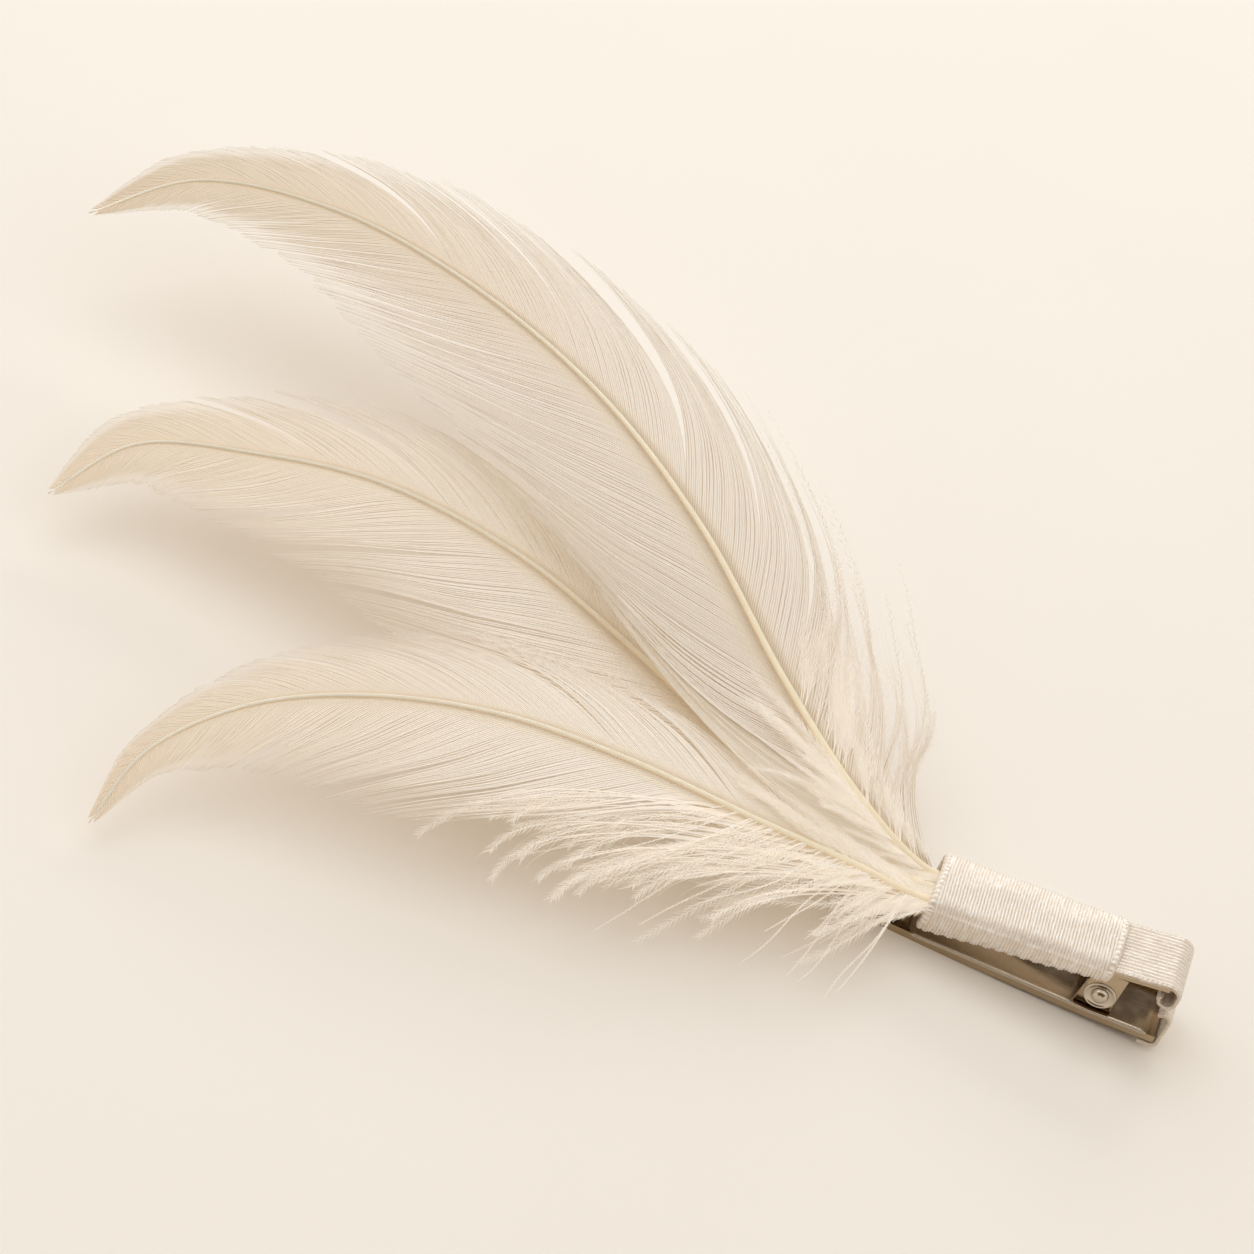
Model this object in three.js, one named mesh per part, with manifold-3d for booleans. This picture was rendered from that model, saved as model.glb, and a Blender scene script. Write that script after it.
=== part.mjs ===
// A feather hair clip: three curved goose feathers bound by satin ribbon to a sprung metal clip.
// Millimetres, +Z up. The clip lies on the plane z = 0, along X, with its feathers towards -X.
// The pieces are drawn with the hinge pin at X = 0, and the whole group is then moved along X, so
// that the origin lies in the middle of the lower jaw's flat underside.

import * as THREE from 'three';
import { mergeVertices } from 'three/addons/utils/BufferGeometryUtils.js';
import Module from 'manifold-3d';

// Driving dimensions of the clip.
const ORIGIN_TO_PIN = 26;
const PIVOT_HEIGHT = 5.3;
const SHEET = 0.6; // thickness of the sheet metal
const LUG_GAP = 0.3; // between an outer lug and the inner one beside it
const CLIP_WIDTH = 8.8;
const JAW_TIP = -35.8;
const JAW_TIP_LIFT = 0.2; // the lower jaw's very tip is bent up by this
const TIP_BEND = 1.3; // length of the bent tip
const FLAT_END = -18; // the lower jaw is flat from its tip to here, and rises from here on
const JAW_RISE = 0.85; // how far the lower jaw has risen at the pin
const LOWER_LEVER_END = 8.8;
const UPPER_LEVER_END = 7.2;
const LUG_RADIUS = 2.15;
const PIN_RADIUS = 0.8;
const PIN_CLEARANCE = 0.15;
const UPPER_JAW_WIDTH = 7.2;
const UPPER_JAW_SETBACK = 0.4; // how far the upper jaw's tip is behind the lower jaw's
const JAW_SLOPE = 0.218; // rise of the upper jaw towards the pin, per millimetre
const JAW_TIP_HEIGHT = 1.6; // underside of the upper jaw at its tip
const TOOTH_DEPTH = 0.75;
const TOOTH_PITCH = 1.6;
const SPRING_COIL_RADIUS = 1.5;
const SPRING_WIRE = 0.5;
const SPRING_TURNS = 6;
const SPRING_PITCH = 0.72;
const SPRING_ARM = 2.4;
const PIN_HEAD_RADIUS = 1.15;
const PIN_HEAD_HEIGHT = 0.6;

// Driving dimensions of the ribbons.
const RIBBON = 0.5; // thickness of one layer of satin ribbon
const LEVER_RIBBON_WIDTH = 9.6;
const WRAP_LENGTH = 24.5;
const WRAP_LEFT = { half: 5.6, bottom: 2.45, top: 8.7 }; // its section at the feathers' end
const WRAP_RIGHT = { half: 5.3, bottom: 7.75, top: 11.9 };
const WRAP_CORNER = 1.7;
const FIT = 0.15; // space between a ribbon and what it is wrapped round

// Driving dimensions of the feathers.
const QUILL_RADIUS = 0.75;
const QUILL_SPACING = 2.4;
const QUILL_ROOM = 3.75; // height of the room for the quills in the wrap
const TIP_RADIUS = 0.25;
const VANE_THICKNESS = 0.22;
const VANE_DROOP = 1.5; // how far a vane curls down 20 mm away from its shaft
const DROOP_REACH = 20;
const ROOT_BARB_ANGLE = 52; // between a barb and the shaft, in degrees
const TIP_BARB_ANGLE = 28;
const SHAFT_TILT = 10; // how far a feather rolls about its shaft by the tip, in degrees
const QUILL_STATIONS = 4;
const VANE_STATIONS = 74;
const VANE_START = 0.04; // share of the shaft over which the vanes grow from the bare quill
const NOTCHED_UP_TO = 0.9; // share of the shaft where the notches end

// Each feather's shaft runs through its points, from the quill's end under the ribbon to the tip.
// The third point is where it leaves the ribbon. A profile gives a vane's reach from the shaft,
// at shares of the way from there to the tip; "outer" is the vane on the far side, +Y.
// A lock is a group of barbs that ends in a notch: pitch counts sections, and depth is a share.
const FEATHERS = [
	{
		name: 'upper_feather',
		shaft: [
			[-11, 2.4, 8.6], [-18, 2.4, 7.2], [-25.5, 2.4, 5.7], [-37, 4, 10.2], [-52, 13.5, 14.4], [-70, 28, 19.5],
			[-89.5, 40, 22.5], [-111.5, 48, 23.5], [-131.5, 50.5, 23], [-149.5, 47.5, 20], [-160, 38, 15],
		],
		outer: [[0, 2], [0.03, 12], [0.12, 21], [0.25, 23.5], [0.4, 21], [0.7, 14.5], [0.82, 9], [1, 0.6]],
		inner: [[0, 0.3], [0.04, 1.2], [0.1, 8.5], [0.3, 17], [0.5, 20.5], [0.65, 18.5], [0.85, 8.5], [1, 0.6]],
		locks: { pitch: 6, depth: 0.3, phase: 3 },
	},
	{
		name: 'middle_feather',
		shaft: [
			[-11, 0, 8.6], [-18, 0, 7.2], [-25.5, -0.1, 5.45], [-36, 0.5, 5.5], [-51, 4, 7.8], [-70, 10, 11],
			[-88.5, 14.5, 13.5], [-108.5, 15, 14.5], [-125, 11.5, 13], [-139, 5.5, 11], [-145.5, -5, 7],
		],
		outer: [[0, 0.3], [0.04, 1.2], [0.1, 7], [0.25, 13], [0.45, 15], [0.7, 12.5], [0.8, 9.5], [1, 0.6]],
		inner: [[0, 0.3], [0.06, 1.5], [0.14, 12], [0.3, 19], [0.5, 21], [0.62, 20], [0.82, 11.5], [1, 0.6]],
		locks: { pitch: 7, depth: 0.22, phase: 2 },
	},
	{
		name: 'lower_feather',
		shaft: [
			[-11, -2.4, 8.6], [-18, -2.4, 7.2], [-25.5, -2.6, 5.6], [-35, -4.8, 8], [-48.5, -7, 9.9],
			[-65.5, -9.5, 12.3], [-82, -13, 13.5], [-98, -19.5, 13], [-110.5, -28, 11],
			[-118.5, -38.5, 7.5], [-120.5, -49, 3.5],
		],
		outer: [[0, 0.3], [0.1, 3.5], [0.25, 8.5], [0.38, 12.5], [0.5, 13], [0.75, 6], [0.87, 2.6], [1, 0.5]],
		inner: [[0, 0.6], [0.05, 9], [0.1, 16], [0.3, 23], [0.4, 24], [0.7, 14.5], [0.9, 3.5], [1, 0.5]],
		locks: { pitch: 5, depth: 0.26, phase: 1 },
	},
];

const wasm = await Module();
wasm.setup();

// Turns a geometry into a solid that can be joined and cut.
function toSolid(geometry) {
	const bare = geometry.clone();
	bare.deleteAttribute('normal');
	bare.deleteAttribute('uv');
	const merged = mergeVertices(bare, 1e-4);
	const mesh = new wasm.Mesh({
		numProp: 3,
		vertProperties: new Float32Array(merged.attributes.position.array),
		triVerts: new Uint32Array(merged.index.array),
	});
	return new wasm.Manifold(mesh);
}

// Turns a solid back into a geometry.
function toGeometry(solid) {
	const mesh = solid.getMesh();
	const geometry = new THREE.BufferGeometry();
	geometry.setAttribute('position', new THREE.BufferAttribute(new Float32Array(mesh.vertProperties), 3));
	geometry.setIndex(new THREE.BufferAttribute(new Uint32Array(mesh.triVerts), 1));
	return geometry;
}

// Joins solids and then cuts others away from them.
function combine(added, cut = []) {
	const joined = added.reduce((whole, solid) => whole.add(solid));
	return cut.reduce((whole, solid) => whole.subtract(solid), joined);
}

// Closes a skin over rings of equal size, with a flat cap on each end.
function loft(rings) {
	const size = rings[0].length;
	const points = rings.flat();
	const faces = [];
	for (let k = 0; k < rings.length - 1; k += 1) {
		for (let j = 0; j < size; j += 1) {
			const here = k * size + j;
			const next = k * size + ((j + 1) % size);
			faces.push(here, next, next + size);
			faces.push(here, next + size, here + size);
		}
	}
	const last = points.length - size;
	for (let j = 1; j < size - 1; j += 1) {
		faces.push(0, j + 1, j);
		faces.push(last, last + j, last + j + 1);
	}
	const geometry = new THREE.BufferGeometry().setFromPoints(points);
	geometry.setIndex(faces);
	return geometry;
}

// Extrudes an outline drawn in X and Z between two values of Y.
function plate(shape, yFrom, yTo, curveSegments = 10) {
	const geometry = new THREE.ExtrudeGeometry(shape, {
		depth: yTo - yFrom,
		bevelEnabled: false,
		curveSegments,
	});
	geometry.rotateX(Math.PI / 2);
	geometry.translate(0, yTo, 0);
	return geometry;
}

// Draws an outline through points in X and Z.
function outline(points) {
	return new THREE.Shape(points.map(([x, z]) => new THREE.Vector2(x, z)));
}

// Gives a bar of constant thickness along points in X and Z, measured upwards from them.
function bar(points, thickness) {
	const above = points.map(([x, z]) => [x, z + thickness]).reverse();
	return outline([...points, ...above]);
}

// Draws a lug: a round eye at the pin with straight sides that run to a base line.
function lug(baseLeft, baseRight) {
	const shape = new THREE.Shape();
	const down = baseLeft[1] < PIVOT_HEIGHT;
	shape.moveTo(...baseRight);
	shape.lineTo(LUG_RADIUS, PIVOT_HEIGHT);
	shape.absarc(0, PIVOT_HEIGHT, LUG_RADIUS, 0, Math.PI, !down);
	shape.lineTo(...baseLeft);
	const eye = new THREE.Path();
	eye.absarc(0, PIVOT_HEIGHT, PIN_RADIUS + PIN_CLEARANCE, 0, 2 * Math.PI, down);
	shape.holes.push(eye);
	return shape;
}

const jawUnderside = (x) => JAW_TIP_HEIGHT + (x - JAW_TIP) * JAW_SLOPE;
const halfClip = CLIP_WIDTH / 2;
const wallInside = halfClip - SHEET;
const innerLugOutside = wallInside - LUG_GAP;

// The lower jaw: a channel that lies on the table, with two lugs that carry the pin.
function lowerJaw() {
	const flatStart = JAW_TIP + TIP_BEND;
	const leverRise = 2 * JAW_RISE;
	const floorLine = [
		[JAW_TIP, JAW_TIP_LIFT],
		[flatStart, 0],
		[FLAT_END, 0],
		[0, JAW_RISE],
		[LOWER_LEVER_END, leverRise],
	];
	const wallTop = [
		[LOWER_LEVER_END, 2.8],
		[0, 2],
		[FLAT_END, 1.3],
		[flatStart, 0.9],
		[JAW_TIP, SHEET + JAW_TIP_LIFT],
	];
	const wall = outline([...floorLine, ...wallTop]);
	const bentLug = lug([-2.5, 0.95], [2.5, 1.35]);
	const plates = [plate(bar(floorLine, SHEET), -halfClip, halfClip)];
	for (const side of [-1, 1]) {
		const walls = [side * wallInside, side * halfClip].sort((a, b) => a - b);
		const lugs = [side * (innerLugOutside - SHEET), side * innerLugOutside].sort((a, b) => a - b);
		plates.push(plate(wall, ...walls));
		plates.push(plate(bentLug, ...lugs, 14));
	}
	return toGeometry(combine(plates.map(toSolid)));
}

// The upper jaw: a toothed strip that widens into the lever, with a round lug on each side.
function upperJaw() {
	const tip = JAW_TIP + UPPER_JAW_SETBACK;
	const crownStart = -4;
	const stripEnd = crownStart + 1; // the strip runs on a little into the lever
	const valley = 0.1; // depth of the flange between two teeth
	const half = UPPER_JAW_WIDTH / 2;
	const leverLine = [[crownStart, jawUnderside(crownStart)], [0, 9.15], [UPPER_LEVER_END, 10.7]];
	const strip = bar([[tip, jawUnderside(tip)], [stripEnd, jawUnderside(stripEnd)]], SHEET);
	const teeth = [];
	for (let x = tip; x < crownStart - TOOTH_PITCH; x += TOOTH_PITCH) {
		const point = x + TOOTH_PITCH / 2;
		teeth.push([x, jawUnderside(x) - valley]);
		teeth.push([point, jawUnderside(point) - TOOTH_DEPTH]);
	}
	const lastTooth = teeth[teeth.length - 1][0] + TOOTH_PITCH / 2;
	const flange = outline([
		...teeth,
		[lastTooth, jawUnderside(lastTooth)],
		[lastTooth, jawUnderside(lastTooth) + SHEET / 2],
		[tip, jawUnderside(tip) + SHEET / 2],
	]);
	const hangingLug = lug([-2.2, 9], [2.2, 9.5]);
	const plates = [plate(strip, -half, half), plate(bar(leverLine, SHEET), -halfClip, halfClip)];
	for (const side of [-1, 1]) {
		const flanges = [side * (half - SHEET), side * half].sort((a, b) => a - b);
		const lugs = [side * wallInside, side * halfClip].sort((a, b) => a - b);
		plates.push(plate(flange, ...flanges));
		plates.push(plate(hangingLug, ...lugs, 14));
	}
	return toGeometry(combine(plates.map(toSolid)));
}

// The hinge pin: a shaft with a domed head on each end, turned about Y.
function hingePin() {
	const headInside = halfClip + 0.12;
	const dome = [[0, 1], [0.52, 0.92], [0.83, 0.58], [1, 0]]; // shares of the head's radius and height
	const profile = dome.map(([out, up]) => [out * PIN_HEAD_RADIUS, headInside + up * PIN_HEAD_HEIGHT]);
	profile.push([PIN_RADIUS, headInside]);
	const mirrored = profile.map(([radius, y]) => [radius, -y]);
	const points = [...mirrored, ...profile.reverse()];
	return new THREE.LatheGeometry(points.map(([radius, y]) => new THREE.Vector2(radius, y)), 20);
}

// The torsion spring: a coil round the pin, with a short arm for each lever.
class SpringPath extends THREE.Curve {
	getPoint(share, target = new THREE.Vector3()) {
		const armShare = 0.06; // of the whole wire, for each arm
		const splay = 0.35; // how far an arm leans from the vertical, in radians
		const turned = THREE.MathUtils.clamp((share - armShare) / (1 - 2 * armShare), 0, 1);
		const sweep = 2 * Math.PI * SPRING_TURNS + Math.PI - 2 * splay;
		const angle = -Math.PI / 2 + splay + turned * sweep;
		const y = (turned - 0.5) * SPRING_TURNS * SPRING_PITCH;
		const alongArm = Math.max((armShare - share) / armShare, (share - 1 + armShare) / armShare, 0);
		const arm = SPRING_ARM * alongArm;
		const outwards = share < 0.5 ? -1 : 1;
		target.set(
			SPRING_COIL_RADIUS * Math.cos(angle) - arm * outwards * Math.sin(angle),
			y,
			SPRING_COIL_RADIUS * Math.sin(angle) + arm * outwards * Math.cos(angle),
		);
		return target;
	}
}

function torsionSpring() {
	const section = new THREE.Shape();
	section.absarc(0, 0, SPRING_WIRE / 2, 0, 2 * Math.PI, false);
	const geometry = new THREE.ExtrudeGeometry(section, {
		steps: 90,
		curveSegments: 3,
		extrudePath: new SpringPath(),
	});
	return geometry;
}

// One ring of the satin wrap: a rectangle with round corners, at x, between two heights.
function wrapRing(x, { half, bottom, top }) {
	const cornerSteps = 5;
	const corners = [
		[half - WRAP_CORNER, top - WRAP_CORNER, 0],
		[-half + WRAP_CORNER, top - WRAP_CORNER, Math.PI / 2],
		[-half + WRAP_CORNER, bottom + WRAP_CORNER, Math.PI],
		[half - WRAP_CORNER, bottom + WRAP_CORNER, 1.5 * Math.PI],
	];
	return corners.flatMap(([y, z, start]) => Array.from({ length: cornerSteps + 1 }, (_, k) => {
		const angle = start + (k * Math.PI) / (2 * cornerSteps);
		return new THREE.Vector3(x, y + WRAP_CORNER * Math.cos(angle), z + WRAP_CORNER * Math.sin(angle));
	}));
}

// The satin wrap: a sleeve round the upper jaw and the quills, higher at its hinge end.
function satinWrap() {
	const sleeve = loft([wrapRing(-WRAP_LENGTH, WRAP_LEFT), wrapRing(0, WRAP_RIGHT)]);
	const beyond = 1; // how far the cuts run past the sleeve's ends
	const mouth = -WRAP_LENGTH - beyond;
	const stripEnd = -2;
	const quillsEnd = -10.6;
	const crownStart = -4.2;
	const under = (x) => jawUnderside(x) - TOOTH_DEPTH - FIT;
	const stripHalf = UPPER_JAW_WIDTH / 2 + FIT;
	const stripRoom = SHEET + TOOTH_DEPTH + 2 * FIT;
	const stripLine = [[mouth, under(mouth)], [stripEnd, under(stripEnd)]];
	const strip = plate(bar(stripLine, stripRoom), -stripHalf, stripHalf);
	const quillHalf = QUILL_SPACING + QUILL_RADIUS + FIT;
	const quillLine = [[mouth, under(mouth)], [quillsEnd, under(quillsEnd)]];
	const quills = plate(bar(quillLine, QUILL_ROOM), -quillHalf, quillHalf);
	const crownHalf = LEVER_RIBBON_WIDTH / 2 + FIT;
	const crownRoom = outline([[crownStart, 6.2], [beyond, 6.5], [beyond, 10.9], [crownStart, 9.95]]);
	const crown = plate(crownRoom, -crownHalf, crownHalf);
	return toGeometry(combine([toSolid(sleeve)], [strip, quills, crown].map(toSolid)));
}

// Thickens a line in X and Z to one layer of ribbon, on its left side.
function ribbonOutline(points) {
	const line = points.map(([x, z]) => new THREE.Vector2(x, z));
	const offset = line.map((point, k) => {
		const before = line[Math.max(k - 1, 0)];
		const after = line[Math.min(k + 1, line.length - 1)];
		const along = after.clone().sub(before).normalize();
		return point.clone().add(new THREE.Vector2(-along.y, along.x).multiplyScalar(RIBBON));
	});
	return new THREE.Shape([...line, ...offset.reverse()]);
}

// Gives points on an arc in X and Z, between two angles in degrees.
function arc(x, z, radius, from, to, steps) {
	return Array.from({ length: steps + 1 }, (_, k) => {
		const angle = THREE.MathUtils.degToRad(from + ((to - from) * k) / steps);
		return [x + radius * Math.cos(angle), z + radius * Math.sin(angle)];
	});
}

// The lever ribbon: it lies on the upper lever, turns down round its end and curls in below it.
function leverRibbon() {
	const line = [
		[-2.6, 9.5],
		[0, 9.9],
		...arc(7.1, 10.25, 1.2, 100, 0, 6),
		...arc(7.5, 9.3, 0.8, 0, -200, 8),
	];
	const half = LEVER_RIBBON_WIDTH / 2;
	return plate(ribbonOutline(line), -half, half);
}

// The tab ribbon: it hooks under the lower lever's end and stands up behind it.
function tabRibbon() {
	const line = [
		[6.8, 1.36],
		...arc(8.4, 2.05, 0.55, -80, 0, 4),
		[8.95, 4.4],
		...arc(8.35, 6.1, 0.6, 0, 130, 6),
	];
	const half = LEVER_RIBBON_WIDTH / 2;
	return plate(ribbonOutline(line.reverse()), -half, half);
}

// Reads a profile of shares and values at a share, with straight lines between its points.
function readProfile(profile, share) {
	const k = profile.findIndex(([at]) => at >= share);
	if (k <= 0) {
		return profile[k === 0 ? 0 : profile.length - 1][1];
	}
	const [fromShare, from] = profile[k - 1];
	const [toShare, to] = profile[k];
	return THREE.MathUtils.mapLinear(share, fromShare, toShare, from, to);
}

// Works out a feather's shaft as places, each with its directions along, across and up.
class Shaft {
	constructor(points) {
		this.curve = new THREE.CatmullRomCurve3(points.map((p) => new THREE.Vector3(...p)), false, 'centripetal');
		this.curve.arcLengthDivisions = 600;
		this.length = this.curve.getLength();
		const lengths = this.curve.getLengths();
		const exit = 2 / (points.length - 1);
		this.exit = lengths[Math.round(exit * (lengths.length - 1))];
	}

	// Gives the place at a share of the way from the ribbon to the tip; below 0 it is in the quill.
	at(share) {
		const length = share < 0 ? this.exit * (1 + share) : THREE.MathUtils.lerp(this.exit, this.length, share);
		const along = this.curve.getTangentAt(Math.min(length / this.length, 1));
		const tilt = THREE.MathUtils.degToRad(SHAFT_TILT) * THREE.MathUtils.clamp(share, 0, 1);
		const up = new THREE.Vector3(0, -Math.sin(tilt), Math.cos(tilt));
		const across = up.cross(along).normalize();
		return {
			point: this.curve.getPointAt(Math.min(length / this.length, 1)),
			across,
			up: along.clone().cross(across),
		};
	}

	// Gives a point beside the shaft, at a distance across it and a height above it.
	beside(share, distance, height) {
		const { point, across, up } = this.at(share);
		return point.addScaledVector(across, distance).addScaledVector(up, height);
	}
}

// One section of a feather. In the quill it is round. In the vanes it is a chevron: it follows
// one barb out to each side, so that a short barb between longer ones makes a slanted notch.
function featherRing(shaft, feather, station) {
	const share = station < 0 ? station / QUILL_STATIONS : station / VANE_STATIONS;
	const along = THREE.MathUtils.clamp(share, 0, 1);
	const vane = THREE.MathUtils.smoothstep(along, 0, VANE_START);
	const radius = THREE.MathUtils.lerp(QUILL_RADIUS, TIP_RADIUS, along ** 0.8);
	const angle = THREE.MathUtils.degToRad(THREE.MathUtils.lerp(ROOT_BARB_ANGLE, TIP_BARB_ANGLE, along));
	const visible = shaft.length - shaft.exit;
	const { pitch, depth, phase } = feather.locks;
	const ring = [];
	for (const side of [-1, 1]) {
		const profile = side < 0 ? feather.outer : feather.inner;
		let reach = readProfile(profile, along);
		for (let k = 0; k < 6; k += 1) {
			reach = readProfile(profile, Math.min(along + reach / Math.tan(angle) / visible, 1));
		}
		const notched = (station + (side < 0 ? phase : 0)) % pitch === 0;
		reach *= vane * (notched && along < NOTCHED_UP_TO ? 1 - depth : 1);
		// Each row: across and up on the shaft's skin, share of the barb, and the vane's upper or lower face.
		const rows = [
			[0.5, 0.87, 0, 1],
			[0.87, 0.5, 0.5, 1],
			[1, 0.13, 1, 1],
			[1, -0.13, 1, -1],
			[0.87, -0.5, 0.5, -1],
		];
		const points = rows.map(([across, up, out, face]) => {
			const distance = out * reach;
			const droop = VANE_DROOP * (distance / DROOP_REACH) ** 2;
			const height = THREE.MathUtils.lerp(up * radius, (face * VANE_THICKNESS) / 2, vane) - droop;
			const forward = distance / Math.tan(angle) / visible;
			return shaft.beside(Math.min(share + forward, 1), side * (across * radius + distance), height);
		});
		ring.push(side < 0 ? points : points.reverse());
	}
	const top = shaft.beside(share, 0, radius);
	const bottom = shaft.beside(share, 0, -radius);
	return [top, ...ring[0], bottom, ...ring[1]];
}

// A feather grown in one piece: a bare quill, then the shaft with a vane on each side.
function featherSolid(feather) {
	const shaft = new Shaft(feather.shaft);
	const rings = [];
	for (let station = -QUILL_STATIONS; station <= VANE_STATIONS; station += 1) {
		rings.push(featherRing(shaft, feather, station));
	}
	return loft(rings);
}

const STEEL = { color: 0xb9b2a6, metalness: 0.95, roughness: 0.25 };
const SATIN = { color: 0xf1e9df, metalness: 0, roughness: 0.45 };
const FEATHER = { color: 0xeadfc8, metalness: 0, roughness: 0.8 };

const group = new THREE.Group();
group.position.x = ORIGIN_TO_PIN;

// Adds a named mesh to the model.
function addMesh(parent, name, geometry, finish) {
	const mesh = new THREE.Mesh(geometry, new THREE.MeshStandardMaterial(finish));
	mesh.name = name;
	parent.add(mesh);
	return mesh;
}

addMesh(group, 'lower_jaw', lowerJaw(), STEEL);
addMesh(group, 'upper_jaw', upperJaw(), STEEL);
addMesh(group, 'hinge_pin', hingePin(), STEEL).position.z = PIVOT_HEIGHT;
addMesh(group, 'torsion_spring', torsionSpring(), STEEL).position.z = PIVOT_HEIGHT;
addMesh(group, 'satin_wrap', satinWrap(), SATIN);
addMesh(group, 'lever_ribbon', leverRibbon(), SATIN);
addMesh(group, 'tab_ribbon', tabRibbon(), SATIN);
for (const feather of FEATHERS) {
	addMesh(group, feather.name, featherSolid(feather), FEATHER);
}

export default group;
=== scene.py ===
"""A feather hair clip: three curved ivory feathers bound by satin ribbon to a sprung metal clip."""
import logging
import math
from dataclasses import dataclass
from enum import Enum

import bmesh
import bpy
import numpy as np
from mathutils import Matrix, Vector


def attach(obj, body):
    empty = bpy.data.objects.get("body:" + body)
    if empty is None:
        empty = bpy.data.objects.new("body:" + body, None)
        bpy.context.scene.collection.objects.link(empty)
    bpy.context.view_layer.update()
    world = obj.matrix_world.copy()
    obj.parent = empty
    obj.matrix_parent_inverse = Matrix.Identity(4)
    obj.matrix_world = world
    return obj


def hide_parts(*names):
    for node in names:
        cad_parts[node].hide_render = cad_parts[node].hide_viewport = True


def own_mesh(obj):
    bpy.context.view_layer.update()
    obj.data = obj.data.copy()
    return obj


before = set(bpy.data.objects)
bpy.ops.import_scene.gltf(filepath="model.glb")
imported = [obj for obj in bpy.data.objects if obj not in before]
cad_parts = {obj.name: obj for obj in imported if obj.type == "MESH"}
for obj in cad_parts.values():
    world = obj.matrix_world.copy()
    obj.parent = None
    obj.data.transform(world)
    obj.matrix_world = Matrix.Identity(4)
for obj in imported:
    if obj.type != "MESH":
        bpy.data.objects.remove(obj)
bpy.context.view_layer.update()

MM = 0.001
ORIGIN_TO_PIN = 26.0  # millimetres along X from the frame's origin to the hinge pin
PIVOT_HEIGHT = 5.3
LOWER_BODY = "lower_clip"
UPPER_BODY = "upper_clip"
Z_UP = np.array([0.0, 0.0, 1.0])
NO_TRIANGLES = np.empty((0, 3), int)
Array = np.ndarray
Pair = tuple[float, float]
Triple = tuple[float, float, float]  # a place, or a colour's red, green and blue from 0 to 255
Mesh = tuple[Array, Array, Array]  # vertices, four-sided faces and three-sided faces
Part = tuple[Array, Array, Array, dict[str, Array]]  # a mesh, and the numbers that it carries
log = logging.getLogger("feather_clip")


def to_metres(points: Array) -> Array:
    """Moves points, in the last axis, from the pin's millimetres to the frame's metres."""
    return (points + np.array([ORIGIN_TO_PIN, 0.0, 0.0])) * MM


def smooth(low: float, high: float, x: Array) -> Array:
    """Rises from 0 at low to 1 at high with level ends: 3t squared less 2t cubed."""
    t = np.clip((x - low) / (high - low), 0.0, 1.0)
    return t * t * (3 - 2 * t)


def between(ends: Pair, share: Array) -> Array:
    """Gives the number at a share of the way from the first end to the second."""
    return ends[0] + (ends[1] - ends[0]) * share


def unit(rows: Array, spare: float = 0.0) -> Array:
    """Divides vectors, in the last axis, by their lengths plus a spare."""
    return rows / (np.linalg.norm(rows, axis=-1, keepdims=True) + spare)


def running_length(line: Array) -> Array:
    """Gives the distance run along a line at each of its points."""
    return np.concatenate([[0], np.cumsum(np.linalg.norm(np.diff(line, axis=0), axis=1))])


def whole_turn(size: int) -> Array:
    """Gives angles evenly round a circle, as one row."""
    return np.linspace(0, 2 * math.pi, size, endpoint=False)[None, :]


def ripple(run: Array, pitch: float) -> Array:
    """Gives ridges between 0 and 1: a half plus half the cosine of one turn in every pitch."""
    return 0.5 + 0.5 * np.cos(2 * math.pi * run / pitch)


@dataclass(frozen=True)
class PhotoCamera:
    """The camera, placed so that a known point falls on a known pixel of the photograph."""

    elevation: float = 42.0  # degrees above the table
    roll: float = 25.2  # degrees that the X axis drops to the right of the picture
    lens: float = 120.0
    sensor: float = 36.0
    image_side: int = 1254
    pixels_per_mm: float = 8.0
    pin_head: Triple = (0.0, -4.6, PIVOT_HEIGHT)
    pin_head_pixel: Pair = (1099.5, 996.5)

    def axes(self) -> tuple[Array, Array, Array]:
        """Turns the level axes by the elevation, then by the roll.

        Returns:
            The picture's right, its up, and the way that the camera looks.
        """
        tip, roll = math.radians(self.elevation), math.radians(self.roll)
        level = np.array([1.0, 0.0, 0.0])
        rise = np.array([0.0, math.sin(tip), math.cos(tip)])
        right = math.cos(roll) * level + math.sin(roll) * rise
        up = math.cos(roll) * rise - math.sin(roll) * level
        return right, up, np.array([0.0, math.cos(tip), -math.sin(tip)])

    def build(self) -> None:
        """Makes the scene's camera, as far off as the lens needs for the pixels in a millimetre."""
        right, up, look = self.axes()
        across, down = ((pixel - self.image_side / 2) / self.pixels_per_mm for pixel in self.pin_head_pixel)
        centre = np.array(self.pin_head) - across * right + down * up
        distance = self.image_side * self.lens / self.sensor / self.pixels_per_mm
        place = to_metres(centre - distance * look)
        data = bpy.data.cameras.new("photo_camera")
        data.lens = self.lens
        data.sensor_width = self.sensor
        data.clip_start = 0.01
        camera = bpy.data.objects.new("photo_camera", data)
        turn = Matrix((right, up, -look)).transposed().to_4x4()
        camera.matrix_world = Matrix.Translation(Vector(place)) @ turn
        bpy.context.scene.collection.objects.link(camera)
        bpy.context.scene.camera = camera


def paint(red: float, green: float, blue: float) -> tuple[float, float, float, float]:
    """Turns a colour in 0 to 255 display values into a linear colour with full alpha."""
    return tuple(float((c / 255) ** 2.2) for c in (red, green, blue)) + (1.0,)


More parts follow.
